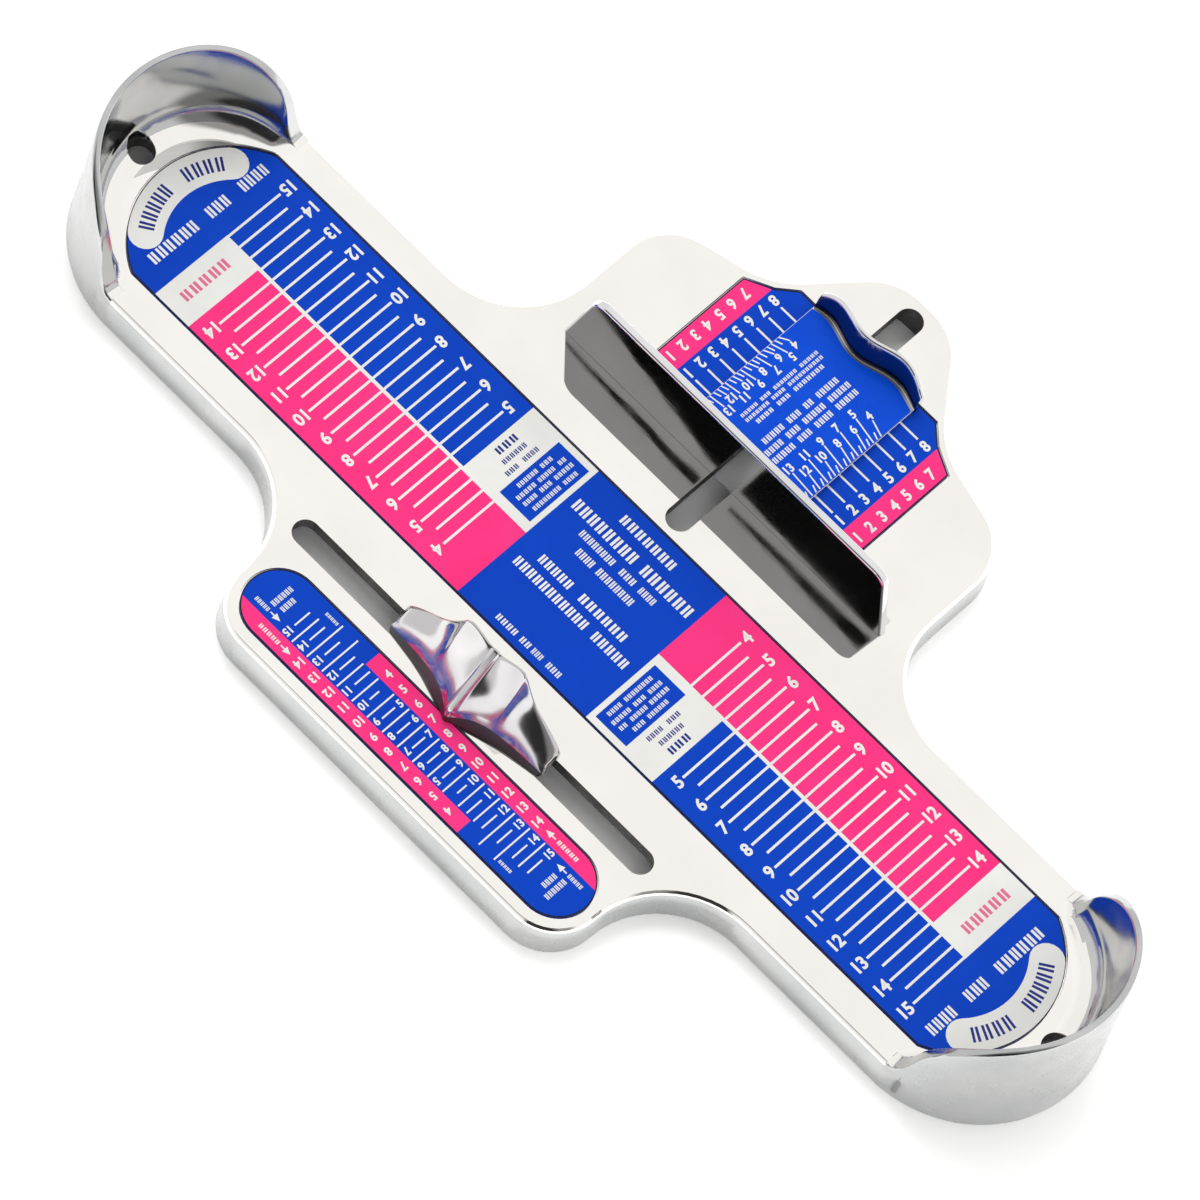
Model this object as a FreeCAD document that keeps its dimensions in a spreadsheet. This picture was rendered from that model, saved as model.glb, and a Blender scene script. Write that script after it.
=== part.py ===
"""Foot measuring device: a cast aluminium plate with a heel cup at each end, a width
slide with an upright bar, an arch slide with a pointer for the ball of the foot, and scales.

Frame: +X runs along the foot, +Y points to the width slide and +Z is up.  The origin is
the middle of the footprint, on the surface that the device stands on.
"""
import FreeCAD, Part
import math
import os

from collections import namedtuple

from FreeCAD import Vector

# ----------------------------------------------------------------- driving dimensions
SIZES = [
    # the casting: plan
    ("heel_to_heel", 351.3, "clear length between the backs of the two heel cups"),
    ("band_width", 74.8, "width of the foot plate between the lobes and the cups"),
    ("lobe_width", 131.6, "width along X of the width lobe and of the arch lobe"),
    ("nose_reach", 130.6, "length centre line to the tip of the width lobe"),
    ("arch_reach", 80.7, "length centre line to the edge of the arch lobe"),
    ("shoulder_depth", 36.3, "tip of the nose back to the shoulder corner"),
    ("neck_half_width", 32.7, "half width where the nose leaves the shoulders"),
    ("neck_depth", 27.8, "tip of the nose back to the neck corner"),
    ("nose_half_width", 11.0, "half width of the nose at its tip, before rounding"),
    ("nose_radius", 18.0, "rounding of the nose"),
    ("neck_radius", 25.0, "concave rounding at the neck"),
    ("shoulder_radius", 17.0, "rounding of the shoulders"),
    ("width_root_radius", 26.0, "concave rounding where the width lobe meets the band"),
    ("arch_root_radius", 28.0, "concave rounding where the arch lobe meets the band"),
    ("arch_corner_radius", 15.0, "rounding of the arch lobe's outer corners"),
    # the casting: section
    ("face_height", 12.0, "ground to the measuring face"),
    ("floor_thickness", 4.5, "thickness of the casting under the measuring face"),
    ("skirt_thickness", 3.0, "thickness of the rim that the device stands on"),
    ("skirt_draft", 0.6, "how far the rim spreads from the face to the ground"),
    ("edge_bevel", 1.0, "bevel round the measuring face"),
    ("rib_thickness", 3.0, "thickness of the stiffening ribs under the band"),
    ("rib_depth", 4.5, "how far the ribs hang below the floor"),
    ("rib_spacing", 36.0, "spacing of the two long ribs"),
    ("cross_rib_spacing", 190.0, "spacing of the two cross ribs"),
    # the heel cups
    ("cup_height", 35.0, "measuring face to the top of the heel cup"),
    ("cup_wall", 4.75, "thickness of the cup wall at heel height"),
    ("cup_rim", 2.4, "thickness of the cup wall at the rim"),
    ("cup_taper", 1.0, "how far the outside of the cup leans in at the rim"),
    ("cove_radius", 8.0, "cove between the cup wall and the face"),
    ("cup_lead", 6.6, "cup centre to where the rim leaves the face"),
    ("cup_knee_run", 14.0, "cup centre to the knee of the rim, along X"),
    ("cup_knee_rise", 23.0, "face to the knee of the rim"),
    ("heel_hole", 8.0, "diameter of the hole behind each heel"),
    ("heel_hole_inset", 4.65, "heel back to the centre of that hole"),
    # the scale plates and their recesses
    ("plate_thickness", 0.8, "scale plates let into the casting"),
    ("film_thickness", 0.15, "adhesive film under each scale plate"),
    ("plate_gap", 0.45, "groove left round each scale plate"),
    ("recess_rise", 10.25, "measuring face to where the recesses stop cutting into the coves"),
    ("film_inset", 1.0, "how far the film stops short of the plate's edge"),
    ("length_plate_width", 54.2, "length scale, across"),
    ("length_plate_length", 327.2, "length scale, over its curved ends"),
    ("length_plate_end_radius", 30.0, "radius of the length scale's ends"),
    ("width_plate_half_width", 38.6, "centre of the slot to the side of a width scale"),
    ("width_plate_near", 56.0, "length centre line to the near edge of the width scales"),
    ("width_plate_side", 97.8, "length centre line to the end of their straight sides"),
    ("width_plate_knee_half", 30.8, "half width at the knee of the slanted corner"),
    ("width_plate_knee", 101.9, "length centre line to that knee"),
    ("width_plate_top_half", 25.6, "half width of their far edge"),
    ("width_plate_far", 106.8, "length centre line to their far edge"),
    ("width_plate_slot_margin", 1.6, "slot edge to the near side of a width scale"),
    ("arch_plate_length", 124.0, "arch scale, over its round ends"),
    ("arch_plate_width", 21.6, "arch scale, across"),
    ("arch_plate_reach", 65.4, "length centre line to the arch scale's middle"),
    # the two slots
    ("slot_width", 7.8, "both slots"),
    ("width_slot_near", 29.5, "length centre line to the near end of the width slot"),
    ("width_slot_margin", 3.6, "far end of the width slot to the tip of the nose"),
    ("arch_slot_length", 131.8, "arch slot, over its round ends"),
    ("arch_slot_reach", 45.3, "length centre line to the middle of the arch slot"),
    # what holds both slides
    ("slide_gap", 0.1, "running gap between a slide and the measuring face"),
    ("slot_clearance", 0.1, "running gap between a guide block and each slot wall"),
    ("guide_length", 38.0, "guide blocks, over their round ends"),
    ("spring_room", 1.2, "room for the leaf springs, floor to keeper plate"),
    ("spring_thickness", 0.4, "leaf springs"),
    ("spring_width", 3.5, "leaf springs"),
    ("spring_length", 28.0, "leaf springs"),
    ("spring_gap", 0.1, "running gap between a leaf spring and the casting"),
    ("spring_side_gap", 0.4, "guide block to leaf spring"),
    ("keeper_length", 30.0, "keeper plates"),
    ("keeper_width", 16.4, "keeper plates"),
    ("keeper_thickness", 1.5, "keeper plates"),
    ("screw_spacing", 20.0, "the two screws of each slide"),
    ("screw_diameter", 4.0, "shank of the slide screws"),
    ("screw_head_diameter", 7.0, "pan head of the slide screws"),
    ("screw_head_height", 2.4, "pan head of the slide screws"),
    ("screw_fit", 0.1, "screw hole over screw, on the diameter"),
    ("screw_end_room", 0.5, "end of a blind hole to the end of its screw"),
    ("washer_diameter", 9.0, "washers"),
    ("washer_thickness", 0.8, "washers"),
    ("arch_screw_bite", 5.0, "how far the screws enter the arch pointer"),
    # the width slide
    ("width_rest_offset", 0.9, "middle of the width slot to the guide block's middle, at rest"),
    ("bar_reach", 49.3, "length centre line to the front of the width bar"),
    ("bar_length", 118.6, "width bar, at its foot"),
    ("bar_lean", 3.8, "how far each end of the bar leans in at the top"),
    ("bar_height", 25.5, "measuring face to the top of the bar"),
    ("bar_thickness", 2.6, "width bar, at its top"),
    ("bar_foot_thickness", 5.5, "width bar, at its foot"),
    ("bar_foot_height", 5.0, "height of the bar's thicker foot"),
    ("bar_corner_radius", 5.0, "rounding of the bar's upper corners"),
    ("tongue_width", 39.2, "tongue of the width slide"),
    ("tongue_thickness", 2.2, "tongue of the width slide, without its scale"),
    ("tongue_scale_thickness", 0.65, "scale plate on the tongue"),
    ("tongue_scale_inset", 0.25, "tongue's edge to its scale plate"),
    ("lip_reach", 102.9, "length centre line to the valley of the finger lip"),
    ("lip_wave", 2.9, "how far the lip's two bumps stand out past its valley"),
    ("lip_wave_pitch", 26.0, "spacing of the two bumps"),
    ("lip_wave_shift", 2.5, "valley of the lip to the slot's centre"),
    ("lip_height", 9.2, "tongue to the top of the finger lip"),
    ("lip_end_drop", 4.5, "how much lower the lip is at its ends"),
    ("lip_lean", 1.2, "how far the lip leans out at its top"),
    ("lip_foot_thickness", 3.2, "finger lip, at its foot"),
    ("lip_top_thickness", 1.6, "finger lip, at its top"),
    ("lip_gap", 1.2, "tongue's scale plate to the finger lip"),
    # the arch slide
    ("pointer_length", 56.8, "arch pointer, along X"),
    ("pointer_top_length", 21.0, "arch pointer, along its top edge"),
    ("pointer_height", 25.0, "measuring face to the top of the arch pointer"),
    ("pointer_end_height", 5.5, "height of the arch pointer's two ends"),
    ("pointer_back", 4.4, "middle of the slot to the pointer's foot-side face"),
    ("pointer_tip", 10.8, "middle of the slot to the pointer's tip"),
    ("pointer_end_depth", 3.4, "middle of the slot to the front of the pointer's ends"),
    ("pointer_waist", 6.0, "middle of the slot to the foot of the pointer's waist"),
    ("pointer_crest", 1.6, "thickness of the pointer at its top edge"),
    ("pointer_keel_crest", 2.55, "thickness of the pointer at the top of its keel"),
    ("pointer_toe_height", 0.9, "height of the upright toe of the pointer's front"),
]

OVERRUN = 1.0       # how far a cutting shape runs past what it cuts
LIP_STEPS = 12      # even stations across the tongue, close enough to follow the wave
LIP_END_POWER = 4   # keeps the lip level in the middle and drops it near its ends
WAIST_SHARE = 0.35  # height of the pointer's waist, over the pointer's height there

doc = FreeCAD.newDocument("FootMeasuringDevice")
sheet = doc.addObject("Spreadsheet::Sheet", "Sizes")
for row, (alias, value, meaning) in enumerate(SIZES, start=1):
    sheet.set(f"A{row}", meaning)
    sheet.set(f"B{row}", str(value))
    sheet.setAlias(f"B{row}", alias)
doc.recompute()

nodes = []


def size(alias):
    """Value of one driving dimension."""
    return float(sheet.get(alias))


# ------------------------------------------------------------- places that many share
CENTRE_LINE = "(Sizes.arch_reach - Sizes.nose_reach) / 2"
centre_line = (size("arch_reach") - size("nose_reach")) / 2
face = size("face_height")
underside = face - size("floor_thickness")
band_half = size("band_width") / 2
lobe_half = size("lobe_width") / 2
cup_inner_radius = band_half - size("cup_wall")
cup_centre = size("heel_to_heel") / 2 - cup_inner_radius
slide_base = face + size("slide_gap")
width_slot_far = size("nose_reach") - size("width_slot_margin")
width_slot_middle = (size("width_slot_near") + width_slot_far) / 2
SLIDE_BASE = "(Sizes.face_height + Sizes.slide_gap)"
KEEPER_TOP = "(Sizes.face_height - Sizes.floor_thickness - Sizes.spring_room)"
PLATE_BOTTOM = "(Sizes.face_height - Sizes.plate_thickness)"
FILM_BOTTOM = "(Sizes.face_height - Sizes.plate_thickness - Sizes.film_thickness)"
WIDTH_SLOT_FAR = "(Sizes.nose_reach - Sizes.width_slot_margin)"
WIDTH_MIDDLE = f"({CENTRE_LINE} + (Sizes.width_slot_near + {WIDTH_SLOT_FAR}) / 2)"
ARCH_MIDDLE = f"({CENTRE_LINE} - Sizes.arch_slot_reach)"


# ------------------------------------------------------------------ document helpers
def bind(obj, **expressions):
    """Tie properties of an object to the sheet; x, y and z are its place."""
    places = {"x": ".Placement.Base.x", "y": ".Placement.Base.y", "z": ".Placement.Base.z"}
    for name, expression in expressions.items():
        obj.setExpression(places.get(name, name), expression)
    return obj


def box(name, length, width, height, x, y, z):
    """Box centred on x and y, standing on z."""
    return bind(doc.addObject("Part::Box", name), Length=length, Width=width, Height=height,
                x=f"{x} - ({length}) / 2", y=f"{y} - ({width}) / 2", z=z)


def cylinder(name, diameter, height, x, y, z):
    """Upright cylinder standing on z."""
    return bind(doc.addObject("Part::Cylinder", name), Radius=f"({diameter}) / 2", Height=height,
                x=x, y=y, z=z)


def stadium(name, length, width, height, x, y, z, along="x"):
    """Upright prism with two round ends, centred on x and y."""
    straight = f"(({length}) - ({width}))"
    run = {"x": (straight, width), "y": (width, straight)}[along]
    pieces = [box(f"{name}Web", *run, height, x, y, z)]
    for number, sign in enumerate("-+"):
        place = {"x": (f"{x} {sign} {straight} / 2", y), "y": (x, f"{y} {sign} {straight} / 2")}[along]
        pieces.append(cylinder(f"{name}End{number}", width, height, *place, z))
    return fuse(name, pieces)


def fuse(name, pieces):
    """One solid from several that meet."""
    joined = doc.addObject("Part::MultiFuse", name)
    joined.Shapes = pieces
    joined.Refine = True
    return joined


def cut(name, base, tool):
    """Base without the tool."""
    rest = doc.addObject("Part::Cut", name)
    rest.Base = base
    rest.Tool = tool
    return rest


def group(name, pieces):
    """Identical pieces that stay separate solids of one node."""
    together = doc.addObject("Part::Compound", name)
    together.Links = pieces
    return together


def feature(name, shape):
    """A piece whose form needs arcs, sections or a loft."""
    obj = doc.addObject("Part::Feature", name)
    obj.Shape = shape
    return obj


def node(label, obj):
    """Mark a finished sub-part; the label names its file."""
    obj.Label = label
    nodes.append(obj)
    return obj


# ------------------------------------------------------------------ geometry helpers
def offset_corners(corners, distance):
    """Move every side of a counter-clockwise outline outwards by a distance."""
    count = len(corners)
    moved = []
    for i, (x, y, radius) in enumerate(corners):
        before = Vector(*corners[i - 1][:2])
        here = Vector(x, y)
        after = Vector(*corners[(i + 1) % count][:2])
        side_in = (here - before).normalize()
        side_out = (after - here).normalize()
        normal_in = Vector(side_in.y, -side_in.x)
        normal_out = Vector(side_out.y, -side_out.x)
        corner = here + (normal_in + normal_out) * (distance / (1 + normal_in.dot(normal_out)))
        outwards = math.copysign(1, side_in.cross(side_out).z)
        moved.append((corner.x, corner.y, radius + distance * outwards if radius else 0))
    return moved


def rounded_wire(corners, z=0.0):
    """Closed wire of straight sides with an arc of its own radius at each corner."""
    count = len(corners)
    stops = []
    for i, (x, y, radius) in enumerate(corners):
        here = Vector(x, y, z)
        to_before = (Vector(*corners[i - 1][:2], z) - here).normalize()
        to_after = (Vector(*corners[(i + 1) % count][:2], z) - here).normalize()
        half_angle = to_before.getAngle(to_after) / 2
        reach = radius / math.tan(half_angle)
        depth = radius / math.sin(half_angle) - radius
        middle = here + (to_before + to_after).normalize() * depth
        stops.append((here + to_before * reach, middle, here + to_after * reach, radius))
    edges = []
    for i, (start, middle, end, radius) in enumerate(stops):
        if radius:
            edges.append(Part.Arc(start, middle, end).toShape())
        following = stops[(i + 1) % count][0]
        if end.distanceToPoint(following) > 1e-6:
            edges.append(Part.LineSegment(end, following).toShape())
    return Part.Wire(edges)


def prism(wire, height):
    """Upright solid on a flat wire."""
    return Part.Face(wire).extrude(Vector(0, 0, height))


def stadium_prism(length, width, height, centre, along="x"):
    """Solid with round ends, for recesses and slots."""
    half_x, half_y = (length / 2, width / 2) if along == "x" else (width / 2, length / 2)
    corners = [(centre.x + sx * half_x, centre.y + sy * half_y, width / 2)
               for sx, sy in ((1, -1), (1, 1), (-1, 1), (-1, -1))]
    return prism(rounded_wire(corners, centre.z), height)


def moved(shape, x=0.0, y=0.0, z=0.0):
    """Copy of a shape at another place."""
    copy = shape.copy()
    copy.translate(Vector(x, y, z))
    return copy


def both_ends(shape):
    """The shape and its mirror image across the YZ plane."""
    return [shape, shape.mirror(Vector(0, 0, 0), Vector(1, 0, 0))]


# --------------------------------------------------------------------------- outlines
def casting_corners():
    """Outline of the measuring face, counter-clockwise, about the length centre line."""
    end = cup_centre + band_half
    right = [
        (end, -band_half, band_half),
        (end, band_half, band_half),
        (lobe_half, band_half, size("width_root_radius")),
        (lobe_half, size("nose_reach") - size("shoulder_depth"), size("shoulder_radius")),
        (size("neck_half_width"), size("nose_reach") - size("neck_depth"), size("neck_radius")),
        (size("nose_half_width"), size("nose_reach"), size("nose_radius")),
    ]
    arch = [
        (lobe_half, -size("arch_reach"), size("arch_corner_radius")),
        (lobe_half, -band_half, size("arch_root_radius")),
    ]
    left = [(-x, y, radius) for x, y, radius in reversed(arch + right)]
    return [(x, y + centre_line, radius) for x, y, radius in right + left + arch]


def length_plate_wire(grow, z):
    """Long plate with two curved ends."""
    half_width = size("length_plate_width") / 2 + grow
    half_length = size("length_plate_length") / 2 + grow
    radius = size("length_plate_end_radius") + grow
    shoulder = half_length - radius + math.sqrt(radius ** 2 - half_width ** 2)
    low, high = centre_line - half_width, centre_line + half_width
    points = [Vector(shoulder, low, z), Vector(shoulder, high, z),
              Vector(-shoulder, high, z), Vector(-shoulder, low, z)]
    return Part.Wire([
        Part.Arc(points[0], Vector(half_length, centre_line, z), points[1]).toShape(),
        Part.LineSegment(points[1], points[2]).toShape(),
        Part.Arc(points[2], Vector(-half_length, centre_line, z), points[3]).toShape(),
        Part.LineSegment(points[3], points[0]).toShape(),
    ])


def width_plate_wire(grow, z):
    """Scale plate on the +X side of the width slot."""
    near_slot = size("slot_width") / 2 + size("width_plate_slot_margin")
    corners = [
        (near_slot, size("width_plate_near"), 0),
        (size("width_plate_half_width"), size("width_plate_near"), 0),
        (size("width_plate_half_width"), size("width_plate_side"), 0),
        (size("width_plate_knee_half"), size("width_plate_knee"), 0),
        (size("width_plate_top_half"), size("width_plate_far"), 0),
        (near_slot, size("width_plate_far"), 0),
    ]
    placed = [(x, y + centre_line, radius) for x, y, radius in corners]
    return rounded_wire(offset_corners(placed, grow), z)


def lip_y(x):
    """Front of the finger lip at its foot: two bumps with a valley between them."""
    phase = 2 * math.pi * (x + size("lip_wave_shift")) / size("lip_wave_pitch")
    return centre_line + size("lip_reach") + size("lip_wave") * (1 - math.cos(phase)) / 2


def lip_stations(half_width):
    """Stations across the tongue, from side to side."""
    return [half_width * (2 * i / LIP_STEPS - 1) for i in range(LIP_STEPS + 1)]


# ----------------------------------------------------------------------- base casting
def heel_cup():
    """Cup at the +X end: tapered outside, coved inside, rim sweeping down to the face."""
    centre = Vector(cup_centre, centre_line, 0)
    top = face + size("cup_height")
    ground_radius = band_half + size("skirt_draft")
    rim_radius = band_half - size("cup_taper")
    outside = Part.makeCone(ground_radius, rim_radius, top, centre)
    floor_radius = cup_inner_radius - size("cove_radius")
    cove = size("cove_radius")
    bend = Vector(floor_radius + cove * math.sin(math.pi / 4), 0,
                  face + cove * (1 - math.cos(math.pi / 4)))
    wall_foot = Vector(cup_inner_radius, 0, face + cove)
    wall_top = Vector(rim_radius - size("cup_rim"), 0, top + OVERRUN)
    section = Part.Wire([
        Part.LineSegment(Vector(0, 0, face), Vector(floor_radius, 0, face)).toShape(),
        Part.Arc(Vector(floor_radius, 0, face), bend, wall_foot).toShape(),
        Part.LineSegment(wall_foot, wall_top).toShape(),
        Part.LineSegment(wall_top, Vector(0, 0, wall_top.z)).toShape(),
        Part.LineSegment(Vector(0, 0, wall_top.z), Vector(0, 0, face)).toShape(),
    ])
    inside = Part.Face(section).revolve(Vector(0, 0, 0), Vector(0, 0, 1), 360)
    inside.translate(centre)
    start = Vector(cup_centre + size("cup_lead"), 0, face)
    knee = Vector(cup_centre + size("cup_knee_run"), 0, face + size("cup_knee_rise"))
    crest = Vector(cup_centre + ground_radius + OVERRUN, 0, top)
    side = Part.Wire([
        Part.Arc(start, knee, crest).toShape(),
        Part.LineSegment(crest, Vector(crest.x, 0, 0)).toShape(),
        Part.LineSegment(Vector(crest.x, 0, 0), Vector(start.x, 0, 0)).toShape(),
        Part.LineSegment(Vector(start.x, 0, 0), start).toShape(),
    ])
    span = 4 * band_half
    envelope = Part.Face(side).extrude(Vector(0, span, 0))
    envelope.translate(Vector(0, centre_line - span / 2, 0))
    return outside.cut(inside).common(envelope)


def cavity():
    """Hollow of the casting, seen from below."""
    corners = offset_corners(casting_corners(), -size("skirt_thickness"))
    return prism(rounded_wire(corners), underside)


def ribs():
    """Two long ribs and two cross ribs under the band."""
    thickness = size("rib_thickness")
    depth = size("rib_depth")
    long_run = 2 * cup_centre
    bottom = underside - depth
    pieces = []
    for sign in (-1, 1):
        y = centre_line + sign * size("rib_spacing") / 2
        pieces.append(Part.makeBox(long_run, thickness, depth,
                                   Vector(-long_run / 2, y - thickness / 2, bottom)))
        x = sign * size("cross_rib_spacing") / 2
        pieces.append(Part.makeBox(thickness, size("band_width") - size("skirt_thickness"), depth,
                                   Vector(x - thickness / 2,
                                          centre_line - band_half + size("skirt_thickness") / 2,
                                          bottom)))
    return pieces


def casting_cuts():
    """Recesses for the scale plates, the two slots and the heel holes."""
    gap = size("plate_gap")
    recess = face - size("plate_thickness") - size("film_thickness")
    depth = face - recess + size("recess_rise")
    cuts = [prism(length_plate_wire(gap, recess), depth)]
    cuts += both_ends(prism(width_plate_wire(gap, recess), depth))
    arch_middle = Vector(0, centre_line - size("arch_plate_reach"), recess)
    cuts.append(stadium_prism(size("arch_plate_length") + 2 * gap,
                              size("arch_plate_width") + 2 * gap, depth, arch_middle))
    slot = size("slot_width")
    cuts.append(stadium_prism(width_slot_far - size("width_slot_near"), slot, 2 * face,
                              Vector(0, centre_line + width_slot_middle, 0), along="y"))
    cuts.append(stadium_prism(size("arch_slot_length"), slot, 2 * face,
                              Vector(0, centre_line - size("arch_slot_reach"), 0)))
    hole_x = size("heel_to_heel") / 2 - size("heel_hole_inset")
    cuts += both_ends(Part.makeCylinder(size("heel_hole") / 2, 2 * face,
                                        Vector(hole_x, centre_line, 0)))
    return cuts


def base_casting():
    """Foot plate with its rim, ribs, heel cups, recesses and slots."""
    corners = casting_corners()
    bevel = size("edge_bevel")
    slope = size("skirt_draft") / face
    body = Part.makeLoft([
        rounded_wire(offset_corners(corners, size("skirt_draft")), 0),
        rounded_wire(offset_corners(corners, bevel * slope), face - bevel),
        rounded_wire(offset_corners(corners, -bevel), face),
    ], True, True)
    body = body.multiFuse(both_ends(heel_cup()))
    body = body.cut(cavity()).multiFuse(ribs())
    return body.cut(casting_cuts()).removeSplitter()


node("base_casting", feature("BaseCasting", base_casting()))


# ----------------------------------------------------------------------- scale plates
def plate_and_film(label, wire_at):
    """A scale plate and its adhesive film; wire_at gives the outline for a growth and height."""
    plate_bottom = face - size("plate_thickness")
    film_bottom = plate_bottom - size("film_thickness")
    plate = prism(wire_at(0, plate_bottom), size("plate_thickness"))
    film = prism(wire_at(-size("film_inset"), film_bottom), size("film_thickness"))
    return (label, plate), (f"{label}_adhesive", film)


for label, shape in plate_and_film("length_scale", length_plate_wire):
    node(label, feature(label.title().replace("_", ""), shape))

for label, shape in plate_and_film("width_scale", width_plate_wire):
    for side, half in zip(("right", "left"), both_ends(shape)):
        node(f"{label}_{side}", feature(f"{label}_{side}".title().replace("_", ""), half))

ARCH_PLATE_Y = f"({CENTRE_LINE} - Sizes.arch_plate_reach)"
node("arch_scale", stadium("ArchScale", "Sizes.arch_plate_length", "Sizes.arch_plate_width",
                           "Sizes.plate_thickness", "0", ARCH_PLATE_Y, PLATE_BOTTOM))
node("arch_scale_adhesive", stadium("ArchScaleAdhesive",
                                    "Sizes.arch_plate_length - 2 * Sizes.film_inset",
                                    "Sizes.arch_plate_width - 2 * Sizes.film_inset",
                                    "Sizes.film_thickness", "0", ARCH_PLATE_Y, FILM_BOTTOM))


# ------------------------------------------------------------------------ width slide
def bar():
    """Upright width bar: leaning ends, rounded upper corners and a thicker foot."""
    half = size("bar_length") / 2
    top_half = half - size("bar_lean")
    rise = size("bar_height") - size("slide_gap")
    front = centre_line + size("bar_reach")
    radius = size("bar_corner_radius")
    corners = [(-half, 0, 0), (half, 0, 0), (top_half, rise, radius), (-top_half, rise, radius)]
    wall = prism(rounded_wire(corners), -size("bar_thickness"))
    foot_rise = size("bar_foot_height")
    foot_half = half - size("bar_lean") * foot_rise / rise
    section = [Vector(0, 0, 0), Vector(0, size("bar_foot_thickness"), 0),
               Vector(0, size("bar_foot_thickness"), foot_rise / 2),
               Vector(0, size("bar_thickness"), foot_rise), Vector(0, 0, foot_rise)]
    foot = Part.Face(Part.makePolygon(section + section[:1])).extrude(Vector(2 * foot_half, 0, 0))
    wall.rotate(Vector(0, 0, 0), Vector(1, 0, 0), 90)
    return moved(wall, y=front, z=slide_base).fuse(moved(foot, x=-foot_half, y=front, z=slide_base))


def lip():
    """Finger lip: a wavy wall lofted through upright sections, lower at its two ends."""
    half = size("tongue_width") / 2
    sections = []
    for x in lip_stations(half):
        foot = lip_y(x)
        rise = (size("tongue_thickness") + size("tongue_scale_thickness") + size("lip_height")
                - size("lip_end_drop") * (x / half) ** LIP_END_POWER)
        crown = foot + size("lip_lean")
        points = [Vector(x, foot, slide_base), Vector(x, foot + size("lip_foot_thickness"), slide_base),
                  Vector(x, crown + size("lip_top_thickness"), slide_base + rise),
                  Vector(x, crown, slide_base + rise)]
        sections.append(Part.makePolygon(points + points[:1]))
    return Part.makeLoft(sections, True, True)


def tongue_outline(start, inset, gap, z):
    """Outline of the tongue, from a start behind the bar's front to a gap before the lip."""
    half = size("tongue_width") / 2 - inset
    near = centre_line + size("bar_reach") + start
    far = [Vector(x, lip_y(x) - gap, z) for x in lip_stations(half)]
    left, right = Vector(-half, near, z), Vector(half, near, z)
    return Part.makePolygon([left] + far + [right, left])


def slide_screw_holes():
    """Holes for the two screws that come up through the width slot."""
    radius = (size("screw_diameter") + size("screw_fit")) / 2
    middle = centre_line + width_guide_middle()
    return [Part.makeCylinder(radius, size("tongue_thickness") + 2 * OVERRUN,
                              Vector(0, middle + sign * size("screw_spacing") / 2,
                                     slide_base - OVERRUN))
            for sign in (-1, 1)]


def width_guide_middle():
    """Length centre line to the middle of the width slide's guide block, at rest."""
    return width_slot_middle - size("width_rest_offset")


def width_slide():
    """Bar, tongue and finger lip, cast in one."""
    outline = tongue_outline(size("bar_thickness") / 2, 0, -size("lip_foot_thickness") / 2,
                             slide_base)
    tongue = prism(outline, size("tongue_thickness"))
    body = bar().multiFuse([tongue, lip()])
    return body.cut(slide_screw_holes()).removeSplitter()


node("width_slide", feature("WidthSlide", width_slide()))

tongue_top = slide_base + size("tongue_thickness")
plate_start = size("bar_foot_thickness") + size("tongue_scale_inset")
film_inset = size("film_inset")
node("width_slide_scale_adhesive", feature("WidthSlideScaleAdhesive", prism(
    tongue_outline(plate_start + film_inset, size("tongue_scale_inset") + film_inset,
                   size("lip_gap") + film_inset, tongue_top), size("film_thickness"))))
node("width_slide_scale", feature("WidthSlideScale", prism(
    tongue_outline(plate_start, size("tongue_scale_inset"), size("lip_gap"),
                   tongue_top + size("film_thickness")),
    size("tongue_scale_thickness") - size("film_thickness"))))


# ------------------------------------------------------------------------ arch slide
PointerSection = namedtuple("PointerSection", "x toe height crest waist")
"""Place along X; slot's middle to the toe; height; thickness at the top; slot's middle to the waist."""


def pointer_sections():
    """Sections of the arch pointer from its end at +X in to the keel, in millimetres."""
    half = size("pointer_length") / 2
    top_half = size("pointer_top_length") / 2
    height = size("pointer_height") - size("slide_gap")
    crest = size("pointer_crest")
    return [
        PointerSection(half, size("pointer_end_depth"), size("pointer_end_height"), crest, 2.2),
        PointerSection(20.4, 4.7, 11.8, 3.4, 2.9),
        PointerSection(13.8, size("pointer_waist"), 18.6, 2.2, 3.0),
        PointerSection(top_half, 7.0, height, crest, 3.0),
        PointerSection(5.25, 8.8, height, 1.75, 4.2),
        PointerSection(0, size("pointer_tip"), height, size("pointer_keel_crest"), 6.7),
    ]


def pointer_outline(section, x):
    """Upright outline of the arch pointer at x: a flat foot side and a hollow front."""
    middle = centre_line - size("arch_slot_reach")
    back = middle + size("pointer_back")
    top = slide_base + section.height
    points = [
        Vector(x, back, slide_base),
        Vector(x, back, top),
        Vector(x, back - section.crest, top),
        Vector(x, middle - section.waist, slide_base + section.height * WAIST_SHARE),
        Vector(x, middle - section.toe, slide_base + size("pointer_toe_height")),
        Vector(x, middle - section.toe, slide_base),
    ]
    return Part.makePolygon(points + points[:1])


def arch_pointer():
    """Pointer with a keel down to its tip, two scooped faces and two low wings."""
    sections = pointer_sections()
    left = [pointer_outline(section, -section.x) for section in sections]
    right = [pointer_outline(section, section.x) for section in reversed(sections[:-1])]
    solid = Part.makeLoft(left + right, True, True)
    radius = (size("screw_diameter") + size("screw_fit")) / 2
    middle = centre_line - size("arch_slot_reach")
    depth = size("arch_screw_bite") + size("screw_end_room")
    holes = [Part.makeCylinder(radius, depth + OVERRUN,
                               Vector(sign * size("screw_spacing") / 2, middle, slide_base - OVERRUN))
             for sign in (-1, 1)]
    return solid.cut(holes)


node("arch_pointer", feature("ArchPointer", arch_pointer()))


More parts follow.
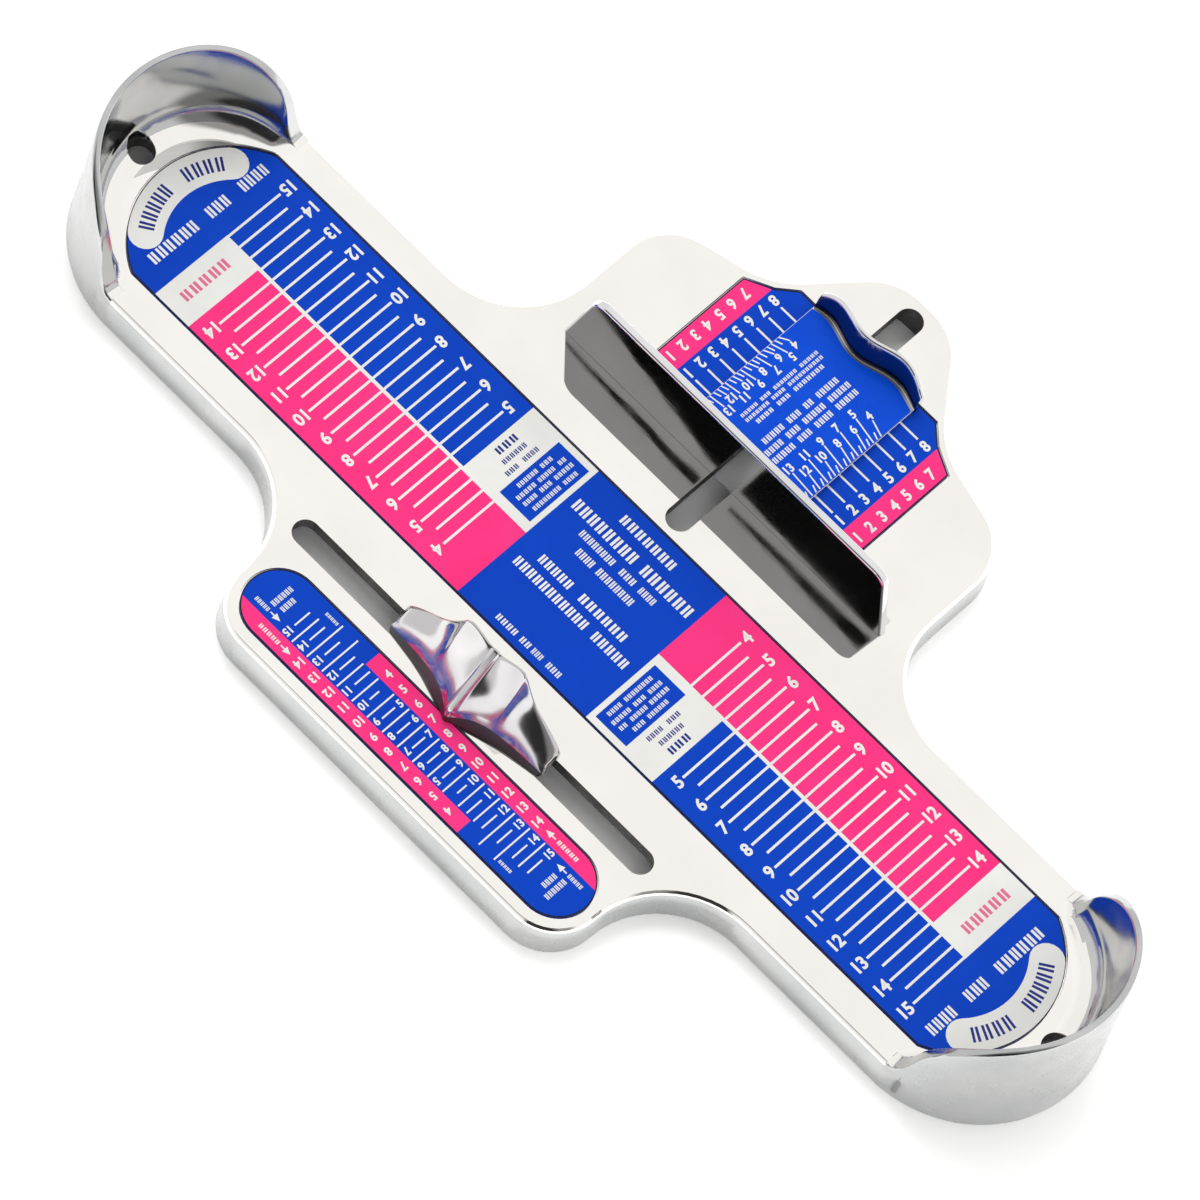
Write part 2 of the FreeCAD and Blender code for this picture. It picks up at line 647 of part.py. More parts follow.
# ------------------------------------------------- what holds the slides in their slots
def screw_places(middle, along):
    """Expressions for the two screw centres of a slide."""
    half = "Sizes.screw_spacing / 2"
    if along == "x":
        return [(f"{sign}{half}", middle) for sign in ("-", "")]
    return [("0", f"{middle} {sign} {half}") for sign in "-+"]


def drilled(name, body, places, bottom, height):
    """Body with the two screw holes."""
    holes = [cylinder(f"{name}Hole{number}", "Sizes.screw_diameter + Sizes.screw_fit",
                      height, *place, bottom) for number, place in enumerate(places)]
    return cut(name, body, group(f"{name}Holes", holes))


def leaf_spring(centre, offset, along):
    """Bowed leaf: its ends rest on the keeper plate, its crown runs under the casting."""
    half = size("spring_length") / 2
    low = underside - size("spring_room")
    rise = size("spring_room") - size("spring_thickness") - size("spring_gap")
    edges = []
    ends = []
    for lift in (0, size("spring_thickness")):
        start = Vector(-half, 0, low + lift)
        stop = Vector(half, 0, low + lift)
        edges.append(Part.Arc(start, Vector(0, 0, low + lift + rise), stop).toShape())
        ends.append((start, stop))
    edges += [Part.LineSegment(ends[0][i], ends[1][i]).toShape() for i in (0, 1)]
    leaf = Part.Face(Part.Wire(Part.__sortEdges__(edges))).extrude(Vector(0, size("spring_width"), 0))
    leaf.translate(Vector(0, offset - size("spring_width") / 2, 0))
    if along == "y":
        leaf.rotate(Vector(0, 0, 0), Vector(0, 0, 1), 90)
    leaf.translate(Vector(0, centre, 0))
    return leaf


def slide_hardware(slide, middle, centre, along, bite):
    """Guide block, two leaf springs, keeper plate, washers and screws of one slide."""
    name = slide.title()
    places = screw_places(middle, along)
    guide_height = f"({SLIDE_BASE} - {KEEPER_TOP})"
    guide = stadium(f"{name}GuideBody", "Sizes.guide_length",
                    "Sizes.slot_width - 2 * Sizes.slot_clearance", guide_height,
                    "0", middle, KEEPER_TOP, along)
    node(f"{slide}_guide_block", drilled(f"{name}Guide", guide, places, KEEPER_TOP, guide_height))
    offset = (size("slot_width") / 2 - size("slot_clearance") + size("spring_side_gap")
              + size("spring_width") / 2)
    leaves = [leaf_spring(centre, sign * offset, along) for sign in (-1, 1)]
    node(f"{slide}_leaf_springs", feature(f"{name}Springs", Part.makeCompound(leaves)))
    keeper_bottom = f"({KEEPER_TOP} - Sizes.keeper_thickness)"
    run = {"x": ("Sizes.keeper_length", "Sizes.keeper_width"),
           "y": ("Sizes.keeper_width", "Sizes.keeper_length")}[along]
    keeper = box(f"{name}KeeperBody", *run, "Sizes.keeper_thickness", "0", middle, keeper_bottom)
    node(f"{slide}_keeper_plate", drilled(f"{name}Keeper", keeper, places, keeper_bottom,
                                          "Sizes.keeper_thickness"))
    washer_bottom = f"({keeper_bottom} - Sizes.washer_thickness)"
    head_bottom = f"({washer_bottom} - Sizes.screw_head_height)"
    washers = []
    screws = []
    for number, place in enumerate(places):
        disc = cylinder(f"{name}WasherDisc{number}", "Sizes.washer_diameter",
                        "Sizes.washer_thickness", *place, washer_bottom)
        hole = cylinder(f"{name}WasherHole{number}", "Sizes.screw_diameter + Sizes.screw_fit",
                        "Sizes.washer_thickness", *place, washer_bottom)
        washers.append(cut(f"{name}Washer{number}", disc, hole))
        head = cylinder(f"{name}ScrewHead{number}", "Sizes.screw_head_diameter",
                        "Sizes.screw_head_height", *place, head_bottom)
        shank = cylinder(f"{name}ScrewShank{number}", "Sizes.screw_diameter",
                         f"{SLIDE_BASE} - {washer_bottom} + {bite}", *place, washer_bottom)
        screws.append(fuse(f"{name}Screw{number}", [head, shank]))
    node(f"{slide}_washers", group(f"{name}Washers", washers))
    node(f"{slide}_screws", group(f"{name}Screws", screws))


slide_hardware("width", f"({WIDTH_MIDDLE} - Sizes.width_rest_offset)",
               centre_line + width_guide_middle(), "y", "Sizes.tongue_thickness")
slide_hardware("arch", ARCH_MIDDLE, centre_line - size("arch_slot_reach"), "x",
               "Sizes.arch_screw_bite")

# ------------------------------------------------------------------- check and export
doc.recompute()
for obj in doc.Objects:
    if "Invalid" in obj.State or "Error" in obj.State:
        raise RuntimeError(f"{obj.Name} did not compute: {obj.State}")
for obj in nodes:
    if obj.Shape.isNull() or not obj.Shape.isValid():
        raise RuntimeError(f"{obj.Label} has no valid shape")

os.makedirs("parts", exist_ok=True)
for obj in nodes:
    obj.Shape.exportStep(os.path.join("parts", f"{obj.Label}.step"))
    extent = obj.Shape.BoundBox
    print(f"{obj.Label}: {len(obj.Shape.Solids)} solid(s), {obj.Shape.Volume:.1f} mm3, "
          f"{extent.XLength:.1f} x {extent.YLength:.1f} x {extent.ZLength:.1f} mm")
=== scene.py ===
"""Foot measuring device: finishes, printed scales and finely shaped castings.

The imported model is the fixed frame, and every piece made here rides on one of its bodies.
Lengths are in millimetres while a piece is built, and in metres once it is finished.
"""

import logging
import math
from dataclasses import dataclass, field
from enum import Enum
from typing import NamedTuple

import bmesh
import bpy
from mathutils import Matrix, Vector


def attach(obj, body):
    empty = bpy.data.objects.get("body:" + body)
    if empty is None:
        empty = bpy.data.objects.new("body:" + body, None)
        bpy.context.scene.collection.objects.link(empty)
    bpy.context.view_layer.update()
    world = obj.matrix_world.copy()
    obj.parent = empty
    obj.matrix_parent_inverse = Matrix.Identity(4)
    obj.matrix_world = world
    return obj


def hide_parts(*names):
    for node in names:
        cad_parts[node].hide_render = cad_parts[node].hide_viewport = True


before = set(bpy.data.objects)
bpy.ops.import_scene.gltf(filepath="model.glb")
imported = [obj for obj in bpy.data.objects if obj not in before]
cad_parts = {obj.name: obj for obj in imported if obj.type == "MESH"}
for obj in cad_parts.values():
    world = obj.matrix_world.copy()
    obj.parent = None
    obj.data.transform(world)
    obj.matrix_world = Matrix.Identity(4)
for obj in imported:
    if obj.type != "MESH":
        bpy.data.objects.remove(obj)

LOG = logging.getLogger("foot_measuring_device")
MM = 0.001
CENTRE_LINE = -24.95        # the length scale's middle line, along Y
FACE = 12.0                 # the measuring face, above the ground
SLIDE_BASE = 12.1           # underside of both slides
ARCH_LINE = -45.3           # the arch slot's middle line, about the length centre line
QUARTER = math.pi / 2
UPRIGHT = 0.99999           # least part of a normal along an axis that counts as straight
Point = tuple[float, float]
Place = tuple[float, float, float]
Colour = tuple[float, float, float, float]
Tone = tuple[int, int, int]


class Body(Enum):
    """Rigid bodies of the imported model."""

    BASE = "base"
    WIDTH = "width_slider"
    ARCH = "arch_slider"


class Slot(Enum):
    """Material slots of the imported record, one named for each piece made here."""

    CASTING = "polished_casting"
    SLIDE = "polished_slide"
    PLATE = "printed_plate"
    ZINC = "zinc_steel"


class Half(Enum):
    """The two halves of a scale that is read from either end: its sign and its turn."""

    RIGHT = 1
    LEFT = -1

    @property
    def turn(self) -> float:
        """Angle of the half's figures."""
        return self.value * QUARTER

    def place(self, x: float, y: float) -> Point:
        """A point of the right half, carried to this half."""
        return self.value * x, self.value * y


class Anchor(Enum):
    """Which part of a number stands on its point, across its reading direction."""

    START = 0.0
    MIDDLE = 0.5
    END = 1.0


def linear(red: int, green: int, blue: int) -> Colour:
    """Scene-linear colour, with an alpha of 1, of a display colour from 0 to 255."""
    def channel(value: int) -> float:
        share = value / 255
        return share / 12.92 if share <= 0.04045 else ((share + 0.055) / 1.055) ** 2.4
    return channel(red), channel(green), channel(blue), 1.0


# ---------------------------------------------------------------------------- finishes
class Nodes:
    """A node tree, with short ways to add and join nodes."""

    def __init__(self, tree: bpy.types.NodeTree) -> None:
        """Work on a tree."""
        self.tree = tree

    def add(self, kind: str, inputs: dict[str | int, object] | None = None,
            **settings: object) -> bpy.types.Node:
        """A new node.

        Args:
            kind: Its type.
            inputs: Its inputs by name or number: another node's output, or a plain value.
            settings: Its properties.

        Returns:
            The node.
        """
        node = self.tree.nodes.new(kind)
        for name, value in settings.items():
            setattr(node, name, value)
        for name, value in (inputs or {}).items():
            if isinstance(value, bpy.types.NodeSocket):
                self.tree.links.new(value, node.inputs[name])
            else:
                node.inputs[name].default_value = value
        return node

    def ramp(self, source: bpy.types.NodeSocket, start: float, stop: float, low: float = 0.0,
             high: float = 1.0, ease: str = "LINEAR") -> bpy.types.NodeSocket:
        """Carry a source's range from start to stop on to the range from low to high."""
        inputs = {"Value": source, "From Min": start, "From Max": stop, "To Min": low,
                  "To Max": high}
        return self.add("ShaderNodeMapRange", inputs, interpolation_type=ease).outputs["Result"]

    def both(self, operation: str, first: bpy.types.NodeSocket,
             second: bpy.types.NodeSocket) -> bpy.types.NodeSocket:
        """Two values joined by an operation."""
        return self.add("ShaderNodeMath", {0: first, 1: second}, operation=operation).outputs[0]


class Shader(Nodes):
    """A material's node tree around one Principled shader."""

    noise_range: Point = (0.35, 0.65)       # where nearly all of a noise lies

    def __init__(self, name: str) -> None:
        """Start a material."""
        self.material = bpy.data.materials.new(name)
        self.material.use_nodes = True
        super().__init__(self.material.node_tree)
        self.surface = self.tree.nodes["Principled BSDF"]
        self.place = self.add("ShaderNodeTexCoord").outputs["Object"]

    def give(self, source: bpy.types.NodeSocket, name: str) -> None:
        """Join a source to one of the shader's inputs."""
        self.tree.links.new(source, self.surface.inputs[name])

    def noise(self, scale: float, detail: float,
              stretch: Place = (1, 1, 1)) -> bpy.types.NodeSocket:
        """Noise over the object.

        Args:
            scale: Noise cells per metre.
            detail: Octaves of finer noise.
            stretch: How much denser the cells lie along each axis.

        Returns:
            The socket that carries the noise.
        """
        mapping = self.add("ShaderNodeMapping", {"Scale": stretch, "Vector": self.place})
        return self.add("ShaderNodeTexNoise", {"Scale": scale, "Detail": detail,
                                               "Vector": mapping.outputs["Vector"]}).outputs["Fac"]

    def blend(self, noise: bpy.types.NodeSocket, first: Colour, second: Colour) -> None:
        """Let the colour wander between two tones."""
        share = self.ramp(noise, *self.noise_range)
        self.give(self.add("ShaderNodeMix", {0: share, 6: first, 7: second},
                           data_type="RGBA").outputs[2], "Base Color")

    def gloss(self, noise: bpy.types.NodeSocket, low: float, high: float) -> None:
        """Let the roughness wander between two values."""
        self.give(self.ramp(noise, *self.noise_range, low, high), "Roughness")

    def relief(self, heights: list[tuple[bpy.types.NodeSocket, float, float]]) -> None:
        """Stack bumps on the surface; each is a height, a strength and a distance in metres."""
        below = {}
        for height, strength, distance in heights:
            bump = self.add("ShaderNodeBump", {"Strength": strength, "Distance": distance,
                                               "Height": height, **below})
            below = {"Normal": bump.outputs["Normal"]}
        self.give(below["Normal"], "Normal")


@dataclass(frozen=True)
class Finish:
    """A surface that wanders between two display colours and two degrees of roughness."""

    name: str
    colour: Tone
    shade: Tone
    roughness: Point

    def start(self, cloud: Point, sheen: Point, stretch: Place = (1, 1, 1)) -> Shader:
        """The material without its relief; cloud and sheen are a scale and a detail each."""
        shader = Shader(self.name)
        shader.blend(shader.noise(*cloud), linear(*self.colour), linear(*self.shade))
        shader.gloss(shader.noise(*sheen, stretch), *self.roughness)
        return shader


@dataclass(frozen=True)
class PolishedMetal(Finish):
    """Cast or drawn metal, from a mirror polish to an as-cast skin."""

    ripple: float = 0.03
    scratch: float = 0.05
    grain: float = 0.0

    def make(self) -> bpy.types.Material:
        """Build the material."""
        shader = self.start((45, 5), (110, 6), (1, 1.6, 1))
        shader.surface.inputs["Metallic"].default_value = 1.0
        heights = [(shader.noise(38, 2), self.ripple, 0.0006),
                   (shader.noise(900, 3, (0.12, 2.2, 1.0)), self.scratch, 0.00002)]
        if self.grain:
            heights.append((shader.noise(1400, 6), self.grain, 0.0003))
        shader.relief(heights)
        return shader.material


@dataclass(frozen=True)
class PrintedEnamel(Finish):
    """Baked ink on sheet metal, faintly mottled and rubbed by feet."""

    roughness: Point = (0.3, 0.42)
    specular: float = 0.09

    def make(self) -> bpy.types.Material:
        """Build the material."""
        shader = self.start((60, 6), (240, 5))
        shader.surface.inputs["Specular IOR Level"].default_value = self.specular
        shader.relief([(shader.noise(520, 3), 0.05, 0.00005)])
        return shader.material


@dataclass(frozen=True)
class Moulded(Finish):
    """Plain plastic or adhesive."""

    roughness: Point = (0.45, 0.6)

    def make(self) -> bpy.types.Material:
        """Build the material."""
        shader = self.start((90, 5), (300, 4))
        shader.relief([(shader.noise(700, 3), 0.1, 0.00008)])
        return shader.material


class Finishes:
    """Every material of the device, built once."""

    def __init__(self) -> None:
        """Build the materials."""
        self.casting = PolishedMetal("polished_cast_aluminium", (250, 248, 244), (245, 243, 239),
                                     (0.01, 0.025), 0.012, 0.01).make()
        self.raw = PolishedMetal("as_cast_aluminium", (128, 127, 125), (104, 104, 102),
                                 (0.42, 0.58), 0.1, 0.05, 0.5).make()
        self.mirror = PolishedMetal("mirror_aluminium", (232, 232, 234), (224, 224, 227),
                                    (0.008, 0.02), 0.012, 0.008).make()
        self.pointer = PolishedMetal("buffed_aluminium", (214, 212, 212), (194, 192, 194),
                                     (0.11, 0.18), 0.05, 0.08).make()
        # the cups' inner walls and rims: the casting's own metal, buffed, with a darker tone that
        # is painted shade
        self.cup = PolishedMetal("buffed_cup_aluminium_painted_shade", (202, 203, 203), (186, 188, 188),
                                 (0.1, 0.17), 0.03, 0.03).make()
        # the casting's upright sides and slot walls: satin metal with a darker tone that is painted
        # shade
        self.side = PolishedMetal("satin_side_aluminium_painted_shade", (196, 197, 196), (184, 186, 186),
                                  (0.2, 0.3), 0.015, 0.02).make()
        # the lip's inner face: the slide's own metal made darker, painted shade on it
        self.lip = PolishedMetal("lip_aluminium_painted_shade", (132, 126, 132), (112, 106, 114),
                                 (0.12, 0.2), 0.05, 0.08).make()
        # the arch pointer's rows next to the plate: its own metal made darker and rougher, painted
        # shade on it
        self.foot = PolishedMetal("foot_aluminium_painted_shade", (112, 112, 112), (90, 90, 90),
                                  (0.36, 0.5), 0.04, 0.04).make()
        self.spring = PolishedMetal("blued_spring_steel", (70, 76, 96), (96, 92, 90),
                                    (0.25, 0.4), 0.03, 0.2).make()
        self.zinc = PolishedMetal("zinc_plated_steel", (206, 206, 198), (188, 190, 184),
                                  (0.22, 0.38), 0.03, 0.2, 0.05).make()
        self.blue = PrintedEnamel("blue_enamel", (0, 64, 190), (2, 68, 196)).make()
        self.slide_blue = PrintedEnamel("slide_blue_enamel", (2, 74, 212), (6, 80, 218),
                                        (0.24, 0.34)).make()
        self.pink = PrintedEnamel("pink_enamel", (255, 52, 130), (252, 58, 136)).make()
        self.pale_pink = PrintedEnamel("pale_pink_enamel", (232, 118, 152),
                                       (226, 110, 146)).make()
        # a near-black band, as wide as the printing's edge width, round the edge of each packed
        # plate
        self.edge = PrintedEnamel("dark_plate_edge_line", (34, 34, 40), (26, 26, 30)).make()
        self.white = PrintedEnamel("white_enamel", (240, 240, 236), (232, 232, 228)).make()
        self.navy = PrintedEnamel("navy_enamel", (40, 50, 130), (48, 58, 138)).make()
        self.film = Moulded("acrylic_adhesive", (205, 200, 180), (190, 184, 160)).make()
        self.nylon = Moulded("black_nylon", (46, 46, 48), (38, 38, 40)).make()


# ------------------------------------------------------------------------ mesh makers
class Row(NamedTuple):
    """What an even row repeats: its tree's name, its own input, and the node that makes it."""

    name: str
    own: str
    socket: str
    node: str
    entry: str
    result: str


BARS = Row("row_of_bars", "Size", "NodeSocketVector", "GeometryNodeMeshCube", "Size", "Mesh")
COPIES = Row("copies_in_a_line", "Model", "NodeSocketObject", "GeometryNodeObjectInfo",
             "Object", "Geometry")


def row_tree(row: Row) -> bpy.types.GeometryNodeTree:
    """Tree for an even row of one shape, such as the marks of a scale or a pair of screws."""
    tree = bpy.data.node_groups.new(row.name, "GeometryNodeTree")
    for label, kind in (("Count", "NodeSocketInt"), ("Start", "NodeSocketVector"),
                        ("Step", "NodeSocketVector"), (row.own, row.socket),
                        ("Finish", "NodeSocketMaterial")):
        tree.interface.new_socket(label, in_out="INPUT", socket_type=kind)
    tree.interface.new_socket("Shape", in_out="OUTPUT", socket_type="NodeSocketGeometry")
    nodes = Nodes(tree)
    given = nodes.add("NodeGroupInput").outputs
    line = nodes.add("GeometryNodeMeshLine", {
        "Count": given["Count"], "Start Location": given["Start"], "Offset": given["Step"]})
    shape = nodes.add(row.node, {row.entry: given[row.own]})
    repeat = nodes.add("GeometryNodeInstanceOnPoints", {
        "Points": line.outputs["Mesh"], "Instance": shape.outputs[row.result]})
    real = nodes.add("GeometryNodeRealizeInstances", {"Geometry": repeat.outputs["Instances"]})
    dress = nodes.add("GeometryNodeSetMaterial", {
        "Geometry": real.outputs["Geometry"], "Material": given["Finish"]})
    nodes.add("NodeGroupOutput", {"Shape": dress.outputs["Geometry"]})
    return tree


def linked(name: str, data: bpy.types.ID) -> bpy.types.Object:
    """Object around some data, in the scene."""
    made = bpy.data.objects.new(name, data)
    bpy.context.scene.collection.objects.link(made)
    return made


def mesh_of(name: str, shape: bmesh.types.BMesh) -> bpy.types.Mesh:
    """Mesh of a shape, which is used up."""
    mesh = bpy.data.meshes.new(name)
    shape.to_mesh(mesh)
    shape.free()
    return mesh


def scratch(name: str, shape: bmesh.types.BMesh) -> bpy.types.Object:
    """Object around a shape, for use while something is made."""
    return linked(name, mesh_of(name, shape))


def evaluated(source: bpy.types.Object) -> bpy.types.Mesh:
    """Plain mesh of an object after its modifiers."""
    graph = bpy.context.evaluated_depsgraph_get()
    return bpy.data.meshes.new_from_object(source.evaluated_get(graph))


def take_away(target: bpy.types.Object, tool: bpy.types.Object, crosses: bool = False) -> None:
    """Take a tool's volume out of an object, by a modifier.

    Args:
        target: The object that is cut.
        tool: What cuts it.
        crosses: Whether the tool's own faces cross each other.
    """
    cut = target.modifiers.new("cut", "BOOLEAN")
    cut.operation = "DIFFERENCE"
    cut.object = tool
    cut.use_self = crosses


def grown(tree: bpy.types.GeometryNodeTree, **values: object) -> bpy.types.Mesh:
    """Plain mesh that a tree makes of its inputs, given by name."""
    holder = linked("holder", bpy.data.meshes.new("holder"))
    modifier = holder.modifiers.new("made", "NODES")
    modifier.node_group = tree
    for item in tree.interface.items_tree:
        if item.in_out == "INPUT":
            modifier[item.identifier] = values[item.name]
    mesh = evaluated(holder)
    bpy.data.objects.remove(holder)
    return mesh


def loft(shape: bmesh.types.BMesh, sections: list[list[Place]],
         painted_shade_rows: range = range(0)) -> list[list[bmesh.types.BMVert]]:
    """Add a closed solid that runs through closed sections.

    Args:
        shape: What it is added to.
        sections: The points of each section, as many in one as in the next.
        painted_shade_rows: The rows of faces that take slot 1 rather than slot 0; callers give slot
            1 a darker finish that is painted shade.

    Returns:
        The vertices of each section.
    """
    rings = [[shape.verts.new(point) for point in section] for section in sections]
    count = len(rings[0])
    for before, after in zip(rings, rings[1:]):
        for i in range(count):
            j = (i + 1) % count
            face = shape.faces.new((before[i], before[j], after[j], after[i]))
            face.material_index = int(i in painted_shade_rows)
    shape.faces.new(rings[0])
    shape.faces.new(list(reversed(rings[-1])))
    bmesh.ops.recalc_face_normals(shape, faces=shape.faces)
    return rings


def keep_flat(made: bpy.types.Object) -> None:
    """Shade the large level and upright faces of a finished piece flat, as ground metal is."""
    least_area = 0.3 * MM * MM
    for polygon in made.data.polygons:
        straight = max(abs(polygon.normal.y), abs(polygon.normal.z)) > UPRIGHT
        if straight and polygon.area > least_area:
            polygon.use_smooth = False


class Maker:
    """Gathers shapes in millimetres and turns them into one piece."""

    bar_tree: bpy.types.GeometryNodeTree | None = None
    glyphs: dict[tuple[str, float, Anchor], bpy.types.Mesh] = {}
    digit_share: float = 0.73       # a digit's height, of its font's size
    bolder: float = 0.045           # how far a digit's strokes grow, of its height
    narrower: float = 0.92          # a digit's width, of the font's own

    def __init__(self, name: str) -> None:
        """Start an empty piece."""
        self.name = name
        self.mesh = bmesh.new()
        self.finishes: list[bpy.types.Material] = []

    def index(self, finish: bpy.types.Material) -> int:
        """Slot number of a finish on this piece."""
        if finish not in self.finishes:
            self.finishes.append(finish)
        return self.finishes.index(finish)

    def take(self, mesh: bpy.types.Mesh, finish: bpy.types.Material,
             place: Matrix | None = None, others: tuple[bpy.types.Material, ...] = ()) -> None:
        """Add a mesh, which is used up.

        Args:
            mesh: Its points are in millimetres.
            finish: The material of its faces.
            place: Where it goes, if not where it is.
            others: Materials of its faces with the slot numbers 1, 2 and so on.
        """
        if place:
            mesh.transform(place)
        start = len(self.mesh.faces)
        self.mesh.from_mesh(mesh)
        self.mesh.faces.ensure_lookup_table()
        numbers = [self.index(each) for each in (finish, *others)]
        for face in self.mesh.faces[start:]:
            face.material_index = numbers[min(face.material_index, len(others))]
        bpy.data.meshes.remove(mesh)

    def slab(self, outline: list[Point], low: float, high: float,
             finish: bpy.types.Material) -> None:
        """Flat prism on an outline that runs counter-clockwise seen from above."""
        number = self.index(finish)
        bottom = [self.mesh.verts.new((x, y, low)) for x, y in outline]
        top = [self.mesh.verts.new((x, y, high)) for x, y in outline]
        faces = [self.mesh.faces.new(top), self.mesh.faces.new(list(reversed(bottom)))]
        for i, vertex in enumerate(bottom):
            after = (i + 1) % len(bottom)
            faces.append(self.mesh.faces.new((vertex, bottom[after], top[after], top[i])))
        for face in faces:
            face.material_index = number

    def bars(self, count: int, start: Point, step: Point, size: Point,
             low: float, high: float, finish: bpy.types.Material) -> None:
        """Even row of upright bars, from its first middle on by equal steps."""
        if Maker.bar_tree is None:
            Maker.bar_tree = row_tree(BARS)
        mesh = grown(Maker.bar_tree, Count=count, Start=(*start, (low + high) / 2),
                     Step=(*step, 0.0), Size=(*size, high - low), Finish=finish)
        self.take(mesh, finish)

    def figure(self, text: str, at: Point, turn: float, height: float,
               low: float, high: float, finish: bpy.types.Material,
               anchor: Anchor = Anchor.MIDDLE) -> None:
        """A bold number at a point.

        Args:
            text: Its digits.
            at: Where it goes.
            turn: Angle from +X to its reading direction.
            height: Height of its digits.
            low: Its underside, above the ground.
            high: Its top, above the ground.
            finish: Its material.
            anchor: Whether its first, middle or last digit stands on the point.
        """
        key = (text, height, anchor)
        if key not in Maker.glyphs:
            curve = bpy.data.curves.new("figure", "FONT")
            curve.body = text
            curve.size = height / self.digit_share
            curve.offset = height * self.bolder
            curve.extrude = 0.5
            curve.resolution_u = 3
            holder = bpy.data.objects.new("figure", curve)
            glyph = bpy.data.meshes.new_from_object(holder)
            bpy.data.objects.remove(holder)
            xs = [vertex.co.x for vertex in glyph.vertices]
            ys = [vertex.co.y for vertex in glyph.vertices]
            across = min(xs) + (max(xs) - min(xs)) * anchor.value
            glyph.transform(Matrix.Translation((-across, -(min(ys) + max(ys)) / 2, 0)))
            Maker.glyphs[key] = glyph
        place = (Matrix.Translation((*at, (low + high) / 2)) @ Matrix.Rotation(turn, 4, "Z")
                 @ Matrix.Diagonal((self.narrower, 1, high - low, 1)))
        self.take(Maker.glyphs[key].copy(), finish, place)

    def tidy(self, angle: float) -> bpy.types.Mesh:
        """Merge doubles, scale to metres and smooth across every edge below an angle."""
        bmesh.ops.remove_doubles(self.mesh, verts=self.mesh.verts, dist=1e-5)
        mesh = mesh_of(self.name, self.mesh)
        mesh.transform(Matrix.Scale(MM, 4))
        for polygon in mesh.polygons:
            polygon.use_smooth = True
        mesh.set_sharp_from_angle(angle=math.radians(angle))
        for finish in self.finishes:
            mesh.materials.append(finish)
        return mesh

    def piece(self, body: Body, slot: Slot, replaces: tuple[str, ...] = (),
              angle: float = 35) -> bpy.types.Object:
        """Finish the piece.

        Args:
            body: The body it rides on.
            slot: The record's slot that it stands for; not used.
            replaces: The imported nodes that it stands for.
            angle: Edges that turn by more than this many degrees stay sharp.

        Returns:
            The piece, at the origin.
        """
        made = linked(self.name, self.tidy(angle))
        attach(made, body.value)
        if replaces:
            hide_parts(*replaces)
        LOG.info("%s: %d faces on %s", self.name, len(made.data.polygons), body.value)
        return made


def arc(centre: Point, radius: float, start: float, stop: float, steps: int) -> list[Point]:
    """Points on an arc, with its angles in degrees."""
    return [(centre[0] + radius * math.cos(math.radians(start + (stop - start) * i / steps)),
             centre[1] + radius * math.sin(math.radians(start + (stop - start) * i / steps)))
            for i in range(steps + 1)]


def rectangle(x0: float, y0: float, x1: float, y1: float) -> list[Point]:
    """Corners of a rectangle, counter-clockwise."""
    left, right = sorted((x0, x1))
    low, high = sorted((y0, y1))
    return [(left, low), (right, low), (right, high), (left, high)]


# --------------------------------------------------------------------- printed scales
def plate_outline(node: str) -> list[Point]:
    """Outline of a packed plate's top face, counter-clockwise, in millimetres."""
    shape = bmesh.new()
    shape.from_mesh(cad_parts[node].data)
    bmesh.ops.remove_doubles(shape, verts=shape.verts, dist=1e-6)
    top = max(vertex.co.z for vertex in shape.verts)
    links: dict[bmesh.types.BMVert, bmesh.types.BMVert] = {}
    for face in shape.faces:
        if face.normal.z > 0.9 and abs(face.calc_center_median().z - top) < 1e-6:
            for loop in face.loops:
                if any(other.normal.z < 0.9 for other in loop.edge.link_faces):
                    links[loop.vert] = loop.link_loop_next.vert
    first = next(iter(links))
    points, vertex = [], first
    while not points or vertex is not first:
        points.append((vertex.co.x / MM, vertex.co.y / MM))
        vertex = links[vertex]
    shape.free()
    return points


def inset(points: list[Point], depth: float) -> list[Point]:
    """A counter-clockwise outline moved inwards."""
    moved = []
    count = len(points)
    for i, (x, y) in enumerate(points):
        before = (Vector((x, y)) - Vector(points[i - 1])).normalized()
        after = (Vector(points[(i + 1) % count]) - Vector((x, y))).normalized()
        inward = Vector((-before.y - after.y, before.x + after.x)).normalized()
        share = depth / max(0.3, inward.dot(Vector((-after.y, after.x))))
        moved.append((x + inward.x * share, y + inward.y * share))
    return moved


